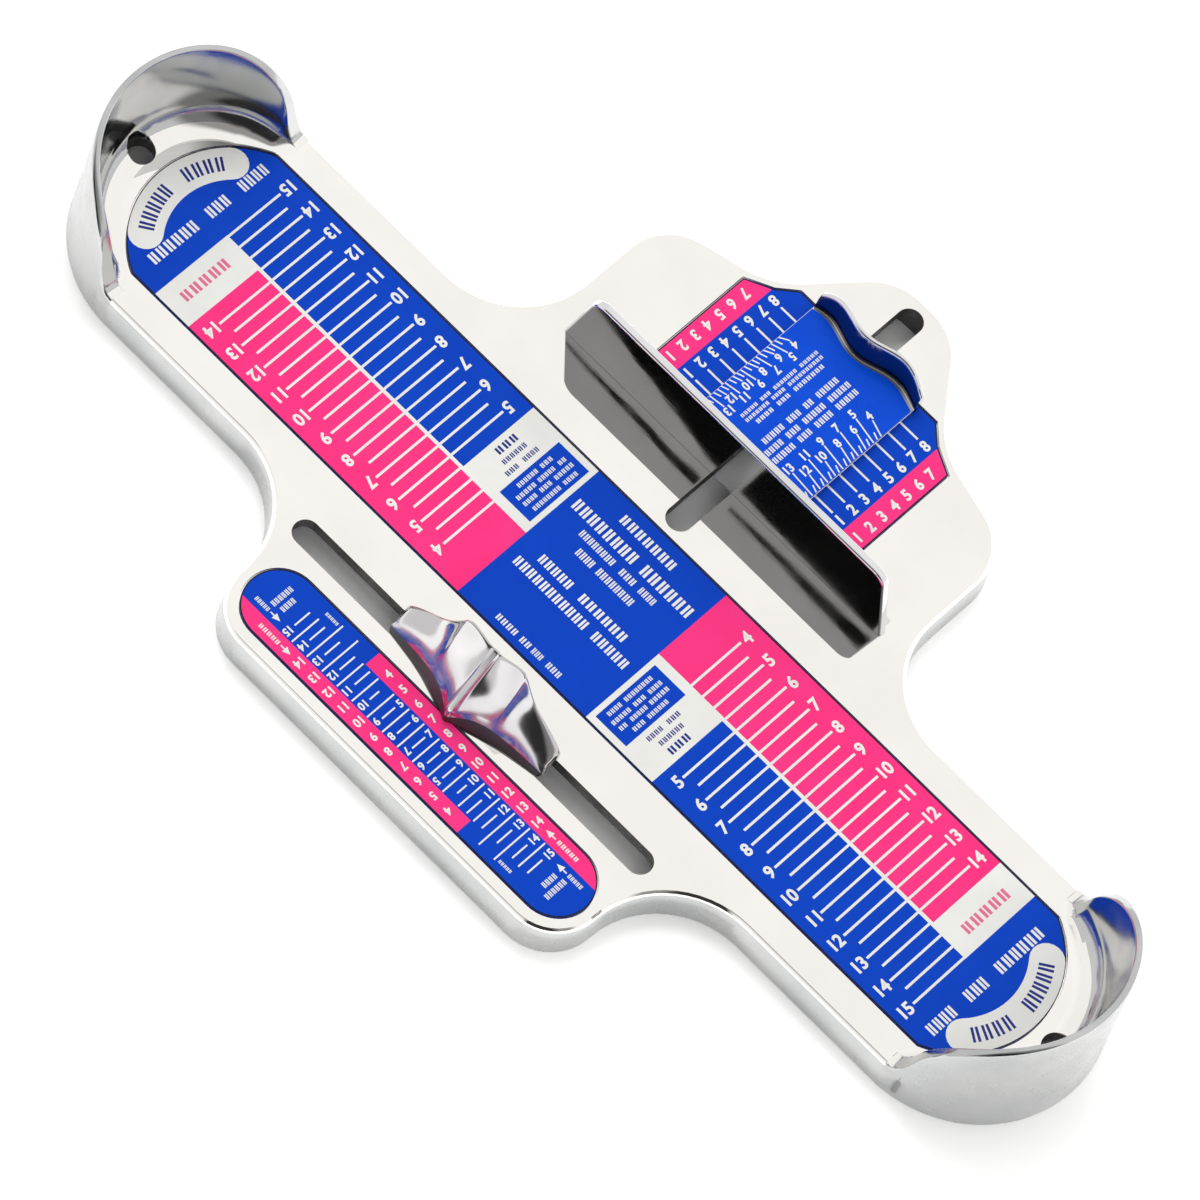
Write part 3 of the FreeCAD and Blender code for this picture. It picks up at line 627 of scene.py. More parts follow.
@dataclass
class Printing:
    """Ink on one plate: fields first, then marks and figures that stand a hair higher.

    The plate's middle line lies a distance, middle, across from the length centre line.
    """

    maker: Maker
    finishes: Finishes
    top: float
    middle: float = 0.0
    edge_width: float = 0.38
    edge_rise: float = 0.008
    ground_rise: float = 0.014
    field_rise: float = 0.022
    mark_rise: float = 0.04
    bite: float = 0.02
    pair: Point = (0.24, 0.66)      # where the two strokes of a pair stand, of the pairs' pitch
    stroke: float = 0.27            # a stroke's thickness, of the pairs' pitch

    def shift(self, point: Point) -> Point:
        """A point about the plate's middle line, in the row frame."""
        return point[0], point[1] + self.middle + CENTRE_LINE

    def ground(self, node: str, finish: bpy.types.Material) -> None:
        """Dark edge line and ground colour over the whole of a packed plate."""
        outline = plate_outline(node)
        self.maker.slab(outline, self.top - self.bite, self.top + self.edge_rise,
                        self.finishes.edge)
        self.maker.slab(inset(outline, self.edge_width), self.top - self.bite,
                        self.top + self.ground_rise, finish)

    def area(self, outline: list[Point], finish: bpy.types.Material, half: Half = Half.RIGHT,
             rise: float | None = None) -> None:
        """Lay a flat field of colour, given in the right half."""
        placed = [self.shift(half.place(*point)) for point in outline]
        self.maker.slab(placed, self.top - self.bite, self.top + (rise or self.field_rise), finish)

    def marks(self, count: int, start: Point, step: Point, size: Point,
              half: Half = Half.RIGHT, finish: bpy.types.Material | None = None,
              rise: float | None = None) -> None:
        """Print an even row of marks, given in the right half."""
        self.maker.bars(count, self.shift(half.place(*start)), half.place(*step), size,
                        self.top - self.bite, self.top + (rise or self.mark_rise),
                        finish or self.finishes.white)

    def digit(self, value: int, at: Point, turn: float, height: float,
              anchor: Anchor = Anchor.MIDDLE) -> None:
        """Print a number where it is given, turned by an angle."""
        self.maker.figure(str(value), self.shift(at), turn, height, self.top - self.bite,
                          self.top + self.mark_rise, self.finishes.white, anchor)

    def number(self, value: int, at: Point, height: float, half: Half,
               anchor: Anchor = Anchor.MIDDLE) -> None:
        """Print a number, given in the right half and read along its Y."""
        self.digit(value, half.place(*at), half.turn, height, anchor)

    def words(self, groups: tuple[tuple[float, float, int], ...], across: float, height: float,
              half: Half = Half.RIGHT, finish: bpy.types.Material | None = None,
              upright: bool = True, rise: float | None = None) -> None:
        """Plain pairs of strokes where a line of words would stand.

        Args:
            groups: Start and end of each group along the line, and its number of pairs.
            across: Middle of the line on the other axis.
            height: Length of the strokes.
            half: The half that the line belongs to.
            finish: Their ink, white if not given.
            upright: Whether the line runs along Y rather than X.
            rise: How far the ink stands up, if not as the other marks.
        """
        for start, stop, pairs in groups:
            pitch = (stop - start) / pairs
            thick = abs(pitch) * self.stroke
            for share in self.pair:
                at, step, size = (across, start + pitch * share), (0, pitch), (height, thick)
                if not upright:
                    at, step, size = at[::-1], step[::-1], size[::-1]
                self.marks(pairs, at, step, size, half, finish, rise)


@dataclass
class LengthScale:
    """The long plate: one half for each foot, the second turned end for end."""

    finishes: Finishes
    side: float = 26.75
    block: float = 23.9
    size_step: float = 25.4 / 3
    men_first: float = 53.0
    women_first: float = 36.0
    pink_end: float = 125.4
    white_end: float = 138.1
    line_low: float = -0.15
    line_high: float = 0.92
    sizes: int = 11
    tick_width: float = 0.72
    women_ticks: Point = (19.9, 18.4)       # where whole sizes' and half sizes' marks end
    men_ticks: Point = (-19.7, -18.2)
    women_figures: float = 20.9
    men_figures: float = -20.5
    figure_height: float = 3.75
    pill_centre: float = 133.2
    pill_radius: float = 25.3
    pill_half: float = 4.8
    pill_span: float = 39.5
    men_white_end: float = 48.5
    panel: tuple[float, float, float, float] = (25.5, -24.7, 36.9, -2.15)
    panel_rise: float = 0.055
    curved_half: Point = (2.15, 0.38)
    curved_gap: float = 0.42

    def half_print(self, ink: Printing, half: Half) -> None:
        """Print one half: its coloured fields, its marks and its numbers."""
        made, step = self.finishes, self.size_step
        for x0, y0, x1, y1, finish in (
                (self.block, self.line_high, self.pink_end, self.side, made.pink),
                (self.pink_end, self.line_low, self.white_end, self.side, made.white),
                (self.block, self.line_low, self.pink_end, self.line_high, made.white),
                (self.block, -self.side, self.men_white_end, self.line_low, made.white)):
            ink.area(rectangle(x0, y0, x1, y1), finish, half)
        ink.area(rectangle(*self.panel), made.blue, half, ink.mark_rise)
        for value, first, low, (whole, short), across, anchor in (
                (4, self.women_first, self.line_high, self.women_ticks, self.women_figures,
                 Anchor.START),
                (5, self.men_first, self.line_low, self.men_ticks, self.men_figures, Anchor.END)):
            for count, start, high in ((self.sizes, first, whole),
                                       (self.sizes - 1, first + step / 2, short)):
                ink.marks(count, (start, (low + high) / 2), (step, 0),
                          (self.tick_width, abs(high - low)), half)
            for i in range(self.sizes):
                ink.number(value + i, (first + i * step, across), self.figure_height, half, anchor)

    def pill(self) -> list[Point]:
        """Outline of the round-ended white label."""
        centre, half, span = (self.pill_centre, 0), self.pill_half, self.pill_span
        caps = [(centre[0] + self.pill_radius * math.cos(math.radians(angle)),
                 self.pill_radius * math.sin(math.radians(angle))) for angle in (span, -span)]
        outline = arc(centre, self.pill_radius + half, -span, span, 24)
        outline += arc(caps[0], half, span, span + 180, 10)[1:]
        outline += arc(centre, self.pill_radius - half, span, -span, 24)[1:]
        return outline + arc(caps[1], half, 180 - span, 360 - span, 10)[1:-1]

    def labels(self, ink: Printing, half: Half) -> None:
        """Print the half's plain stroke groups and its round-ended white label."""
        made = self.finishes
        ink.area(self.pill(), made.white, half)
        for first, last, count in ((36.0, 4.5, 5), (-9.0, -35.5, 4)):
            pitch = (last - first) / (count - 0.35)
            for i in range(count):
                for share in (0.0, self.curved_gap):
                    self.curved_stroke(ink, half, first + (i + share) * pitch)
        for groups, column, height, finish in (
                (((-22.4, -12.4, 4), (-8.1, -0.1, 3), (3.8, 21.2, 6)), 145.9, 3.5, made.white),
                (((5.2, 22.6, 5),), 132.4, 3.2, made.pale_pink),
                (((-17.4, -9.4, 3),), 45.6, 2.2, made.navy),
                (((-19.2, -13.4, 4), (-11.6, -6.8, 3)), 39.3, 1.5, made.navy),
                (((-17.6, -8.6, 6),), 42.3, 1.5, made.navy)):
            ink.words(groups, column, height, half, finish)
        for groups, column in ((((-22.0, -16.8, 4), (-15.6, -5.2, 8)), 27.4),
                               (((-23.0, -16.0, 5), (-14.8, -10.4, 3), (-9.2, -4.2, 4)), 30.0),
                               (((-22.6, -19.8, 2), (-18.4, -12.2, 5), (-11.2, -4.0, 5)), 32.4),
                               (((-20.0, -15.6, 3), (-14.4, -6.8, 6)), 34.9)):
            ink.words(groups, column, 1.35, half, rise=self.panel_rise)

    def curved_stroke(self, ink: Printing, half: Half, angle: float) -> None:
        """One upright stroke on the curved label."""
        around = math.radians(angle)
        out = Vector((math.cos(around), math.sin(around)))
        side = Vector((-out.y, out.x))
        middle = Vector((self.pill_centre, 0)) + out * self.pill_radius
        long, wide = self.curved_half
        corners = [middle + out * a * long + side * b * wide
                   for a, b in ((-1, -1), (1, -1), (1, 1), (-1, 1))]
        ink.area([(c.x, c.y) for c in corners], self.finishes.navy, half, ink.mark_rise)

    def middle_block(self, ink: Printing) -> None:
        """Print the plain stroke groups of the middle block."""
        for groups, across, height in (
                (((-10.4, 9.6, 7),), 21.8, 2.9),
                (((-21.8, 1.4, 8), (3.6, 22.0, 6)), 15.4, 3.6),
                (((-14.6, -2.0, 8), (0.2, 5.8, 3), (7.4, 13.2, 4)), 10.4, 2.2),
                (((-11.4, -5.2, 4), (-3.8, 9.4, 8)), 5.8, 2.4),
                (((-16.6, -4.6, 5), (-1.6, 15.6, 6)), -3.0, 2.8),
                (((-20.6, 6.2, 11), (8.4, 21.2, 5)), -8.3, 3.0),
                (((-12.2, -4.6, 4), (-3.4, 0.4, 2), (1.0, 4.8, 3), (6.4, 11.6, 3)), -23.7, 1.9)):
            ink.words(groups, across, height, upright=False)

    def build(self) -> bpy.types.Object:
        """Make the plate's printing as one piece."""
        ink = Printing(Maker("length_scale_print"), self.finishes, FACE)
        ink.ground("length_scale", self.finishes.blue)
        for half in Half:
            self.half_print(ink, half)
            self.labels(ink, half)
        self.middle_block(ink)
        return ink.maker.piece(Body.BASE, Slot.PLATE)


@dataclass
class WidthScales:
    """The two plates beside the width slot, with their marks and numbers."""

    finishes: Finishes
    step: float = 4.7625
    first: float = 65.9
    strip_inner: float = 31.2
    strip_outer: float = 38.25
    near: float = 56.35
    side_end: float = 97.5
    knee: float = 101.15
    mark_x: float = 22.7
    mark_size: Point = (6.2, 0.62)
    figure_height: float = 3.35
    blue_figures: float = 28.5
    pink_figures: float = 35.2
    count: int = 8

    def build(self) -> bpy.types.Object:
        """Make the printing of both plates as one piece."""
        ink = Printing(Maker("width_scale_print"), self.finishes, FACE)
        for side, sign in (("right", 1), ("left", -1)):
            ink.ground(f"width_scale_{side}", self.finishes.blue)
            strip = [(sign * x, y) for x, y in (
                (self.strip_inner, self.near), (self.strip_outer, self.near),
                (self.strip_outer, self.side_end), (self.strip_inner, self.knee))]
            ink.area(strip[::sign], self.finishes.pink)
            ink.marks(self.count, (sign * self.mark_x, self.first), (0, self.step), self.mark_size)
            for column, count in ((self.blue_figures, self.count),
                                  (self.pink_figures, self.count - 1)):
                for i in range(count):
                    ink.digit(i + 1, (sign * column, self.first + i * self.step),
                              sign * QUARTER, self.figure_height)
        return ink.maker.piece(Body.BASE, Slot.PLATE)


@dataclass
class ArchScale:
    """The round-ended plate before the arch slot, read from either end."""

    finishes: Finishes
    middle: float = -65.4
    half_width: float = 10.4
    end_centre: float = 51.2
    strip_edge: float = 5.3
    strip_start: float = -24.8
    sizes: int = 11
    step: float = 5.6
    figure_height: float = 2.35
    figure_start: Point = (-11.0, 4.85)
    pink_step: float = 5.55         # the same for the numbers on the pink strip
    pink_height: float = 2.55
    pink_start: Point = (-18.9, 7.8)
    line_width: float = 0.48
    arrow_length: Point = (2.2, 3.6)
    arrow_half: Point = (1.0, 0.2)

    def strip(self) -> list[Point]:
        """Outline of the pink strip along the foot side, about the plate's middle."""
        low = math.degrees(math.asin(self.strip_edge / self.half_width))
        return ([(self.strip_start, self.strip_edge)]
                + arc((self.end_centre, 0), self.half_width, low, 90, 12)
                + [(self.strip_start, self.half_width)])

    def lines(self, ink: Printing, half: Half, count: int, x: float, low: float,
              high: float) -> None:
        """An even row of marks across the blue field, from low to high."""
        ink.marks(count, (x, (low + high) / 2), (self.step, 0), (self.line_width, high - low), half)

    def arrow(self, ink: Printing, half: Half, x: float, y: float, reach: float) -> None:
        """Arrow that points back to the row of numbers, with plain strokes behind it."""
        (head, tail), (wide, thin) = self.arrow_length, self.arrow_half
        for outline in ([(x, y), (x + head, y - wide), (x + head, y + wide)],
                        rectangle(x + head, y - thin, x + tail, y + thin)):
            ink.area(outline, self.finishes.white, half, ink.mark_rise)
        ink.words(((x + 4.2, reach, 5),), y, 1.3, half, upright=False)

    def build(self) -> bpy.types.Object:
        """Make the plate's printing as one piece."""
        ink = Printing(Maker("arch_scale_print"), self.finishes, FACE, self.middle)
        ink.ground("arch_scale", self.finishes.blue)
        self.lines(ink, Half.RIGHT, 6, -13.86, -5.1, 4.9)
        self.lines(ink, Half.RIGHT, 5, -11.0, -2.4, 2.4)
        for half in Half:
            ink.area(self.strip(), self.finishes.pink, half)
            for value, (x, y), step, height, anchor in (
                    (4, self.pink_start, self.pink_step, self.pink_height, Anchor.MIDDLE),
                    (5, self.figure_start, self.step, self.figure_height, Anchor.END)):
                for i in range(self.sizes):
                    ink.number(value + i, (x + i * step, y), height, half, anchor)
            for count, x, low, high in ((2, 19.74, -4.9, 4.9), (2, 30.94, -8.5, 4.9),
                                        (1, 42.14, -5.1, 4.9), (1, 17.0, -2.5, 1.0),
                                        (5, 22.6, -4.6, 1.0)):
                self.lines(ink, half, count, x, low, high)
            self.arrow(ink, half, 39.7, 7.8, 51.5)
            self.arrow(ink, half, 48.3, 3.1, 57.6)
            ink.words(((-4.2, 0.8, 4),), 50.3, 1.7, half)
            ink.words(((-6.0, 1.5, 6),), 53.1, 1.7, half)
            ink.words(((37.6, 42.2, 5),), -7.7, 1.0, half, upright=False)
        return ink.maker.piece(Body.BASE, Slot.PLATE)


# ------------------------------------------------------------------------- foot plate
@dataclass
class HeelCup:
    """Deep cup at each end: thin rounded rim, leaning wall and a wide cove down to the face."""

    finishes: Finishes
    centre: float = 143.0
    face_radius: float = 37.59
    band_radius: float = 37.42
    lean: float = 1.19
    top: float = 35.0
    inner_radius: float = 32.65
    inner_lean: float = -1.8
    cove: float = 8.0
    rim_start: Point = (6.6, 0.0)
    rim_knee: Point = (14.0, 23.0)
    rim_crest: Point = (38.0, 34.95)
    flare_start: float = 1.2
    flare_end: float = 7.4
    least: float = 0.03             # the rim's height where it has run out
    first_height: float = 20.0      # where the search for the rim's height starts
    corner: float = 0.8
    edge: float = 1.0
    root: float = 2.5
    seat: float = 0.02
    plate_centre: float = -9.4
    plate_clearance: float = 30.75
    plate_side: float = 27.75
    end_angle: float = 87.9
    stations: int = 128
    even: float = 0.72              # share of the stations' spacing that is even
    crowded: float = 0.28           # the rest, which crowds them at the ends
    crest_inset: float = 1.2        # from the outside to the middle of the rim
    cove_share: float = 0.62        # most of the rim's height that the cove takes
    corner_shares: Point = (0.48, 0.36)     # most of the wall and of the height in a corner
    sunk: float = 0.4               # how far the wall's inner foot goes under the face
    hole_place: float = 28.0
    hole_radius: float = 4.0
    bore_middle: float = 3.0
    bore_depth: float = 14.0
    face_zone: float = 1.4          # how high the faces run that belong to the plate's face
    level: float = 0.8              # how nearly upward their normals point
    outward: float = 0.95           # how nearly outward the outside's normals point

    def rim_arc(self, x: float) -> tuple[float, float]:
        """Height above the face and slope of the rim's sweep, at a distance from the centre."""
        (x1, z1), (x2, z2), (x3, z3) = self.rim_start, self.rim_knee, self.rim_crest
        a, b, e = x2 - x1, z2 - z1, (x2 ** 2 - x1 ** 2 + z2 ** 2 - z1 ** 2) / 2
        c, d, f = x3 - x2, z3 - z2, (x3 ** 2 - x2 ** 2 + z3 ** 2 - z2 ** 2) / 2
        middle_x = (e * d - b * f) / (a * d - b * c)
        middle_z = (a * f - e * c) / (a * d - b * c)
        radius = math.hypot(x1 - middle_x, z1 - middle_z)
        rise = math.sqrt(max(radius ** 2 - (x - middle_x) ** 2, 1e-6))
        return middle_z + rise, (middle_x - x) / rise

    def rim_height(self, x: float) -> float:
        """Height of the rim above the face, flared where it runs out on the plate."""
        if x >= self.flare_end:
            return self.rim_arc(x)[0]
        high, slope = self.rim_arc(self.flare_end)
        run = self.flare_end - self.flare_start
        t = max(0.0, (x - self.flare_start) / run)
        return max(self.least, high * (3 * t * t - 2 * t ** 3) + slope * run * (t ** 3 - t * t))

    def outer(self, height: float, angle: float) -> float:
        """Outside radius at a height above the face, drawn in to the band at the ends."""
        share = min(1.0, max(0.0, self.face_radius * math.cos(angle) / self.flare_end))
        foot = self.band_radius + (self.face_radius - self.band_radius) * share
        return foot - self.lean * height / self.top

    def section(self, angle: float) -> list[Point]:
        """Closed outline of the wall at an angle, as radius and height above the face."""
        height = self.first_height
        for _ in range(12):
            height = self.rim_height((self.outer(height, angle) - self.crest_inset)
                                     * math.cos(angle))
        reach = self.plate_centre * math.cos(angle)
        plate = reach + math.sqrt(reach ** 2 - self.plate_centre ** 2 + self.plate_clearance ** 2)
        plate = min(plate, self.plate_side / max(abs(math.sin(angle)), 0.1))
        start = max(self.inner_radius - self.cove, plate)
        up = min(self.cove, self.cove_share * height)
        wide = self.inner_radius - start
        points = [(start, -self.sunk), (start, self.seat)]
        for i in range(1, 13):
            turn = i * QUARTER / 12
            points.append((start + wide * math.sin(turn), self.seat + up * (1 - math.cos(turn))))
        inside = self.inner_radius - self.inner_lean * height / self.top
        outside = self.outer(height, angle)
        wall = outside - inside
        of_wall, of_height = self.corner_shares
        corner = min(self.corner, of_wall * wall, of_height * height)
        edge = min(self.edge, 0.5 * wall)
        for i in range(1, 8):
            share = i / 8
            points.append((self.inner_radius + (inside - self.inner_radius) * share,
                           up + self.seat + (height - corner - up - self.seat) * share))
        points += arc((inside + corner, height - corner), corner, 180, 90, 6)
        points += arc((outside - edge, height - edge), edge, 90, 0, 6)
        low = height - edge
        for i in range(1, 7):
            level = low - (low + self.root) * i / 6
            points.append((self.outer(level, angle), level))
        foot = self.outer(0.0, angle) - 2 * self.edge
        return points + [(foot, -self.root), (foot, -self.sunk)]

    def shell(self, sign: int) -> bpy.types.Object:
        """Scratch object of one cup's wall, swept through its sections."""
        end = math.radians(self.end_angle)
        sections = []
        for i in range(self.stations + 1):
            t = 2 * i / self.stations - 1
            angle = end * (self.even * t + self.crowded * math.sin(t * QUARTER))
            sections.append([(sign * (self.centre + r * math.cos(angle)),
                              CENTRE_LINE + r * math.sin(angle), FACE + z)
                             for r, z in self.section(angle)])
        shape = bmesh.new()
        loft(shape, sections)
        return scratch("heel_cup_wall", shape)

    def bore(self, sign: int) -> bpy.types.Object:
        """Scratch cylinder of the heel hole, up into the cove."""
        shape = bmesh.new()
        bmesh.ops.create_cone(shape, cap_ends=True, segments=64, radius1=self.hole_radius,
                              radius2=self.hole_radius, depth=self.bore_depth)
        place = (sign * (self.centre + self.hole_place), CENTRE_LINE, FACE + self.bore_middle)
        bmesh.ops.translate(shape, verts=shape.verts, vec=place)
        return scratch("heel_hole", shape)

    def sort_faces(self, mesh: bpy.types.Mesh) -> None:
        """Number the faces: 0 inside and on the rim, 1 outside, 2 on the face of the plate."""
        for polygon in mesh.polygons:
            x, y, z = polygon.center
            away = (x - math.copysign(self.centre, x), y - CENTRE_LINE)
            along = polygon.normal.x * away[0] + polygon.normal.y * away[1]
            level = z < FACE + self.face_zone and polygon.normal.z > self.level
            outside = along > self.outward * math.hypot(*away)
            polygon.material_index = 2 if level else 1 if outside else 0

    def build(self, maker: Maker) -> None:
        """Add both cups to the casting."""
        for sign in (1, -1):
            wall, bore = self.shell(sign), self.bore(sign)
            take_away(wall, bore)
            mesh = evaluated(wall)
            self.sort_faces(mesh)
            # inside and rim take the cup finish and the outside the side finish, whose darker tones
            # are painted shade; level faces keep the casting's polish
            maker.take(mesh, self.finishes.cup,
                       others=(self.finishes.side, self.finishes.casting))
            for done in (wall, bore):
                bpy.data.objects.remove(done)


@dataclass
class FootPlate:
    """The casting: polished above, left as cast in its hollow, with a cup at each end."""

    finishes: Finishes
    cut_height: float = 12.004                  # just above the face, where the cups are cut off
    ceiling: Point = (2.0, FACE - 0.5)          # between what heights the hollow's roof lies
    ground: float = 0.2                         # the rim's foot lies below this

    def hollow_faces(self, shape: bmesh.types.BMesh) -> set[bmesh.types.BMFace]:
        """Faces of the hollow underneath, and of what opens from it."""
        low, high = self.ceiling
        found = {face for face in shape.faces if face.normal.z < -0.9
                 and low < face.calc_center_median().z < high}
        front = list(found)
        while front:
            face = front.pop()
            for edge in face.edges:
                for other in edge.link_faces:
                    on_ground = max(v.co.z for v in other.verts) < self.ground
                    if other not in found and not on_ground and other.normal.z < 0.5:
                        found.add(other)
                        front.append(other)
        return found

    def build(self) -> bpy.types.Object:
        """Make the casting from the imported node's plate and two swept cups."""
        shape = bmesh.new()
        shape.from_mesh(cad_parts["base_casting"].data)
        bmesh.ops.scale(shape, vec=(1 / MM,) * 3, verts=shape.verts)
        bmesh.ops.remove_doubles(shape, verts=shape.verts, dist=1e-4)
        cut = bmesh.ops.bisect_plane(shape, geom=list(shape.verts) + list(shape.edges)
                                     + list(shape.faces), plane_co=(0, 0, self.cut_height),
                                     plane_no=(0, 0, 1), clear_outer=True)
        rim = [e for e in cut["geom_cut"] if isinstance(e, bmesh.types.BMEdge)]
        bmesh.ops.triangle_fill(shape, use_beauty=True, use_dissolve=False, edges=rim,
                                normal=(0, 0, 1))
        shape.normal_update()
        level = [e for e in shape.edges if all(abs(f.normal.z) > UPRIGHT for f in e.link_faces)]
        bmesh.ops.dissolve_limit(shape, angle_limit=math.radians(0.05), verts=[], edges=level)
        shape.normal_update()
        hollow = self.hollow_faces(shape)
        # upright faces take slot 2, the side finish, whose darker tone is painted shade
        for face in shape.faces:
            face.material_index = 1 if face in hollow else 2 if face.normal.z < 0.3 else 0
        maker = Maker("foot_plate_casting")
        maker.take(mesh_of("plate", shape), self.finishes.casting,
                   others=(self.finishes.raw, self.finishes.side))
        HeelCup(self.finishes).build(maker)
        made = maker.piece(Body.BASE, Slot.CASTING, ("base_casting",), angle=40)
        keep_flat(made)
        return made


# ------------------------------------------------------------------------ width slide
@dataclass
class WidthSlide:
    """Upright bar, tongue and wavy finger lip, in one casting, with its scale."""

    finishes: Finishes
    front: float = 49.3
    half: float = 59.3
    lean: float = 3.8
    rise: float = 25.4
    thickness: float = 2.6
    corner: float = 5.0
    rounding: float = 0.7
    foot: float = 5.5
    foot_rise: float = 5.0
    tongue_half: float = 19.6
    tongue_top: float = 2.2
    plate_top: float = 2.85
    lip_reach: float = 102.9
    lip_wave: float = 2.9
    lip_pitch: float = 26.0
    lip_shift: float = 2.5
    lip_height: float = 12.05
    lip_drop: float = 4.5
    lip_lean: float = 1.2
    lip_steps: int = 72
    lip_crown: tuple[Point, ...] = (        # behind the crown's front, and below its top
        (-0.05, 0.9), (0.12, 0.38), (0.42, 0.08), (0.8, 0.0), (1.18, 0.08), (1.48, 0.38),
        (1.62, 0.9))
    margin: float = 0.25            # from the tongue's edge to its printed plate
    plate_gap: float = 0.15         # from the tongue up to the plate
    figures: int = 10
    figure_height: float = 2.6
    figure_row: Point = (92.6, -3.09)       # the first number's place, and the step to the next
    line_row: Point = (90.8, -2.98)         # the same for the ends of their lines
    figure_gap: float = 1.6         # from a number's middle to its line
    edge_x: float = 19.3            # where the lines end
    half_size_x: float = 17.2       # where the half sizes' short lines start
    line_half: float = 0.2          # half of a line's width
    into_bar: float = 1.3           # how far the tongue runs on under the bar
    into_lip: float = 1.6           # and under the lip
    before_lip: float = 1.2         # from the printed plate to the lip

    def add(self, maker: Maker, shape: bmesh.types.BMesh) -> None:
        """Move a finished shape into the piece, its slot 1 in the lip's darker finish, painted
        shade.
        """
        maker.take(mesh_of("part", shape), self.finishes.mirror, others=(self.finishes.lip,))

    def sweep(self, maker: Maker, sections: list[list[Place]], painted_shade_rows: range = range(0)) -> None:
        """Add a closed solid that runs through closed sections, some of its rows in the lip's
        darker finish, painted shade.
        """
        shape = bmesh.new()
        loft(shape, sections, painted_shade_rows)
        self.add(maker, shape)

    def bar(self, maker: Maker) -> None:
        """Upright bar with leaning ends, round corners and softened edges."""
        top_half = self.half - self.lean
        slope = math.degrees(math.atan2(self.rise, self.lean))
        reach = self.corner * math.tan(math.radians((180 - slope) / 2))
        right = arc((top_half - reach, self.rise - self.corner), self.corner, 90 - slope, 90, 10)
        outline = [(-self.half, 0), (self.half, 0)] + right + [(-x, z) for x, z in reversed(right)]
        shape = bmesh.new()
        front = [shape.verts.new((x, CENTRE_LINE + self.front, SLIDE_BASE + z)) for x, z in outline]
        wall = shape.faces.new(front)
        drawn = bmesh.ops.extrude_face_region(shape, geom=[wall])
        moved = [v for v in drawn["geom"] if isinstance(v, bmesh.types.BMVert)]
        bmesh.ops.translate(shape, verts=moved, vec=(0, self.thickness, 0))
        bmesh.ops.recalc_face_normals(shape, faces=shape.faces)
        edges = [e for e in shape.edges
                 if e.calc_face_angle(0) > math.radians(50)
                 and max(v.co.z for v in e.verts) > SLIDE_BASE + 0.01
                 and abs(e.verts[0].co.y - e.verts[1].co.y) < 0.01]
        bmesh.ops.bevel(shape, geom=edges, offset=self.rounding, segments=4, profile=0.5,
                        affect="EDGES", clamp_overlap=True)
        self.add(maker, shape)

    def bar_foot(self, maker: Maker) -> None:
        """Thicker foot behind the bar, hollowed where it meets the wall."""
        inner, base, end = 1.0, 0.8, self.half - 1.4
        depth = self.foot - self.thickness
        curve = [(self.thickness + depth * (1 - math.sin(t * QUARTER / 6)),
                  self.foot_rise * (1 - math.cos(t * QUARTER / 6)) + base) for t in range(7)]
        section = [(inner, 0.0), (self.foot, 0.0)] + curve + [(inner, self.foot_rise + base)]
        self.sweep(maker, [[(x, CENTRE_LINE + self.front + y, SLIDE_BASE + z) for y, z in section]
                           for x in (-end, end)])

    def lip_y(self, x: float) -> float:
        """Front of the lip at its foot: two bumps with a valley between them."""
        phase = 2 * math.pi * (x + self.lip_shift) / self.lip_pitch
        return self.lip_reach + self.lip_wave * (1 - math.cos(phase)) / 2

    def lip(self, maker: Maker) -> None:
        """Wavy finger lip with a rounded crown, lower at its two ends."""
        sections = []
        for i in range(self.lip_steps + 1):
            x = self.tongue_half * (2 * i / self.lip_steps - 1)
            top = self.lip_height - self.lip_drop * (x / self.tongue_half) ** 4
            crown = self.lip_lean
            profile = [(0, 2.6), (crown * 0.3, top * 0.5), (crown - 0.35, top * 0.78),
                       *((crown + back, top - down) for back, down in self.lip_crown),
                       (crown + 1.75, top * 0.5), (3.2, 0.0), (0, 0.0)]
            sections.append([(x, CENTRE_LINE + self.lip_y(x) + y, SLIDE_BASE + z)
                             for y, z in profile])
        # the three rows of the inner face take the darker lip finish, painted shade
        self.sweep(maker, sections, range(3))

    def tongue_far(self, gap: float, half: float) -> list[Point]:
        """Far edge of the tongue, from +X to -X, a gap before the lip."""
        xs = [half * (1 - 2 * i / self.lip_steps) for i in range(self.lip_steps + 1)]
        return [(x, CENTRE_LINE + self.lip_y(x) - gap) for x in xs]

    def tongue(self, maker: Maker) -> None:
        """Flat tongue between the bar and the lip, sunk a little into both."""
        near = CENTRE_LINE + self.front + self.into_bar
        outline = [(-self.tongue_half, near), (self.tongue_half, near)]
        maker.slab(outline + self.tongue_far(-self.into_lip, self.tongue_half), SLIDE_BASE,
                   SLIDE_BASE + self.tongue_top, self.finishes.mirror)

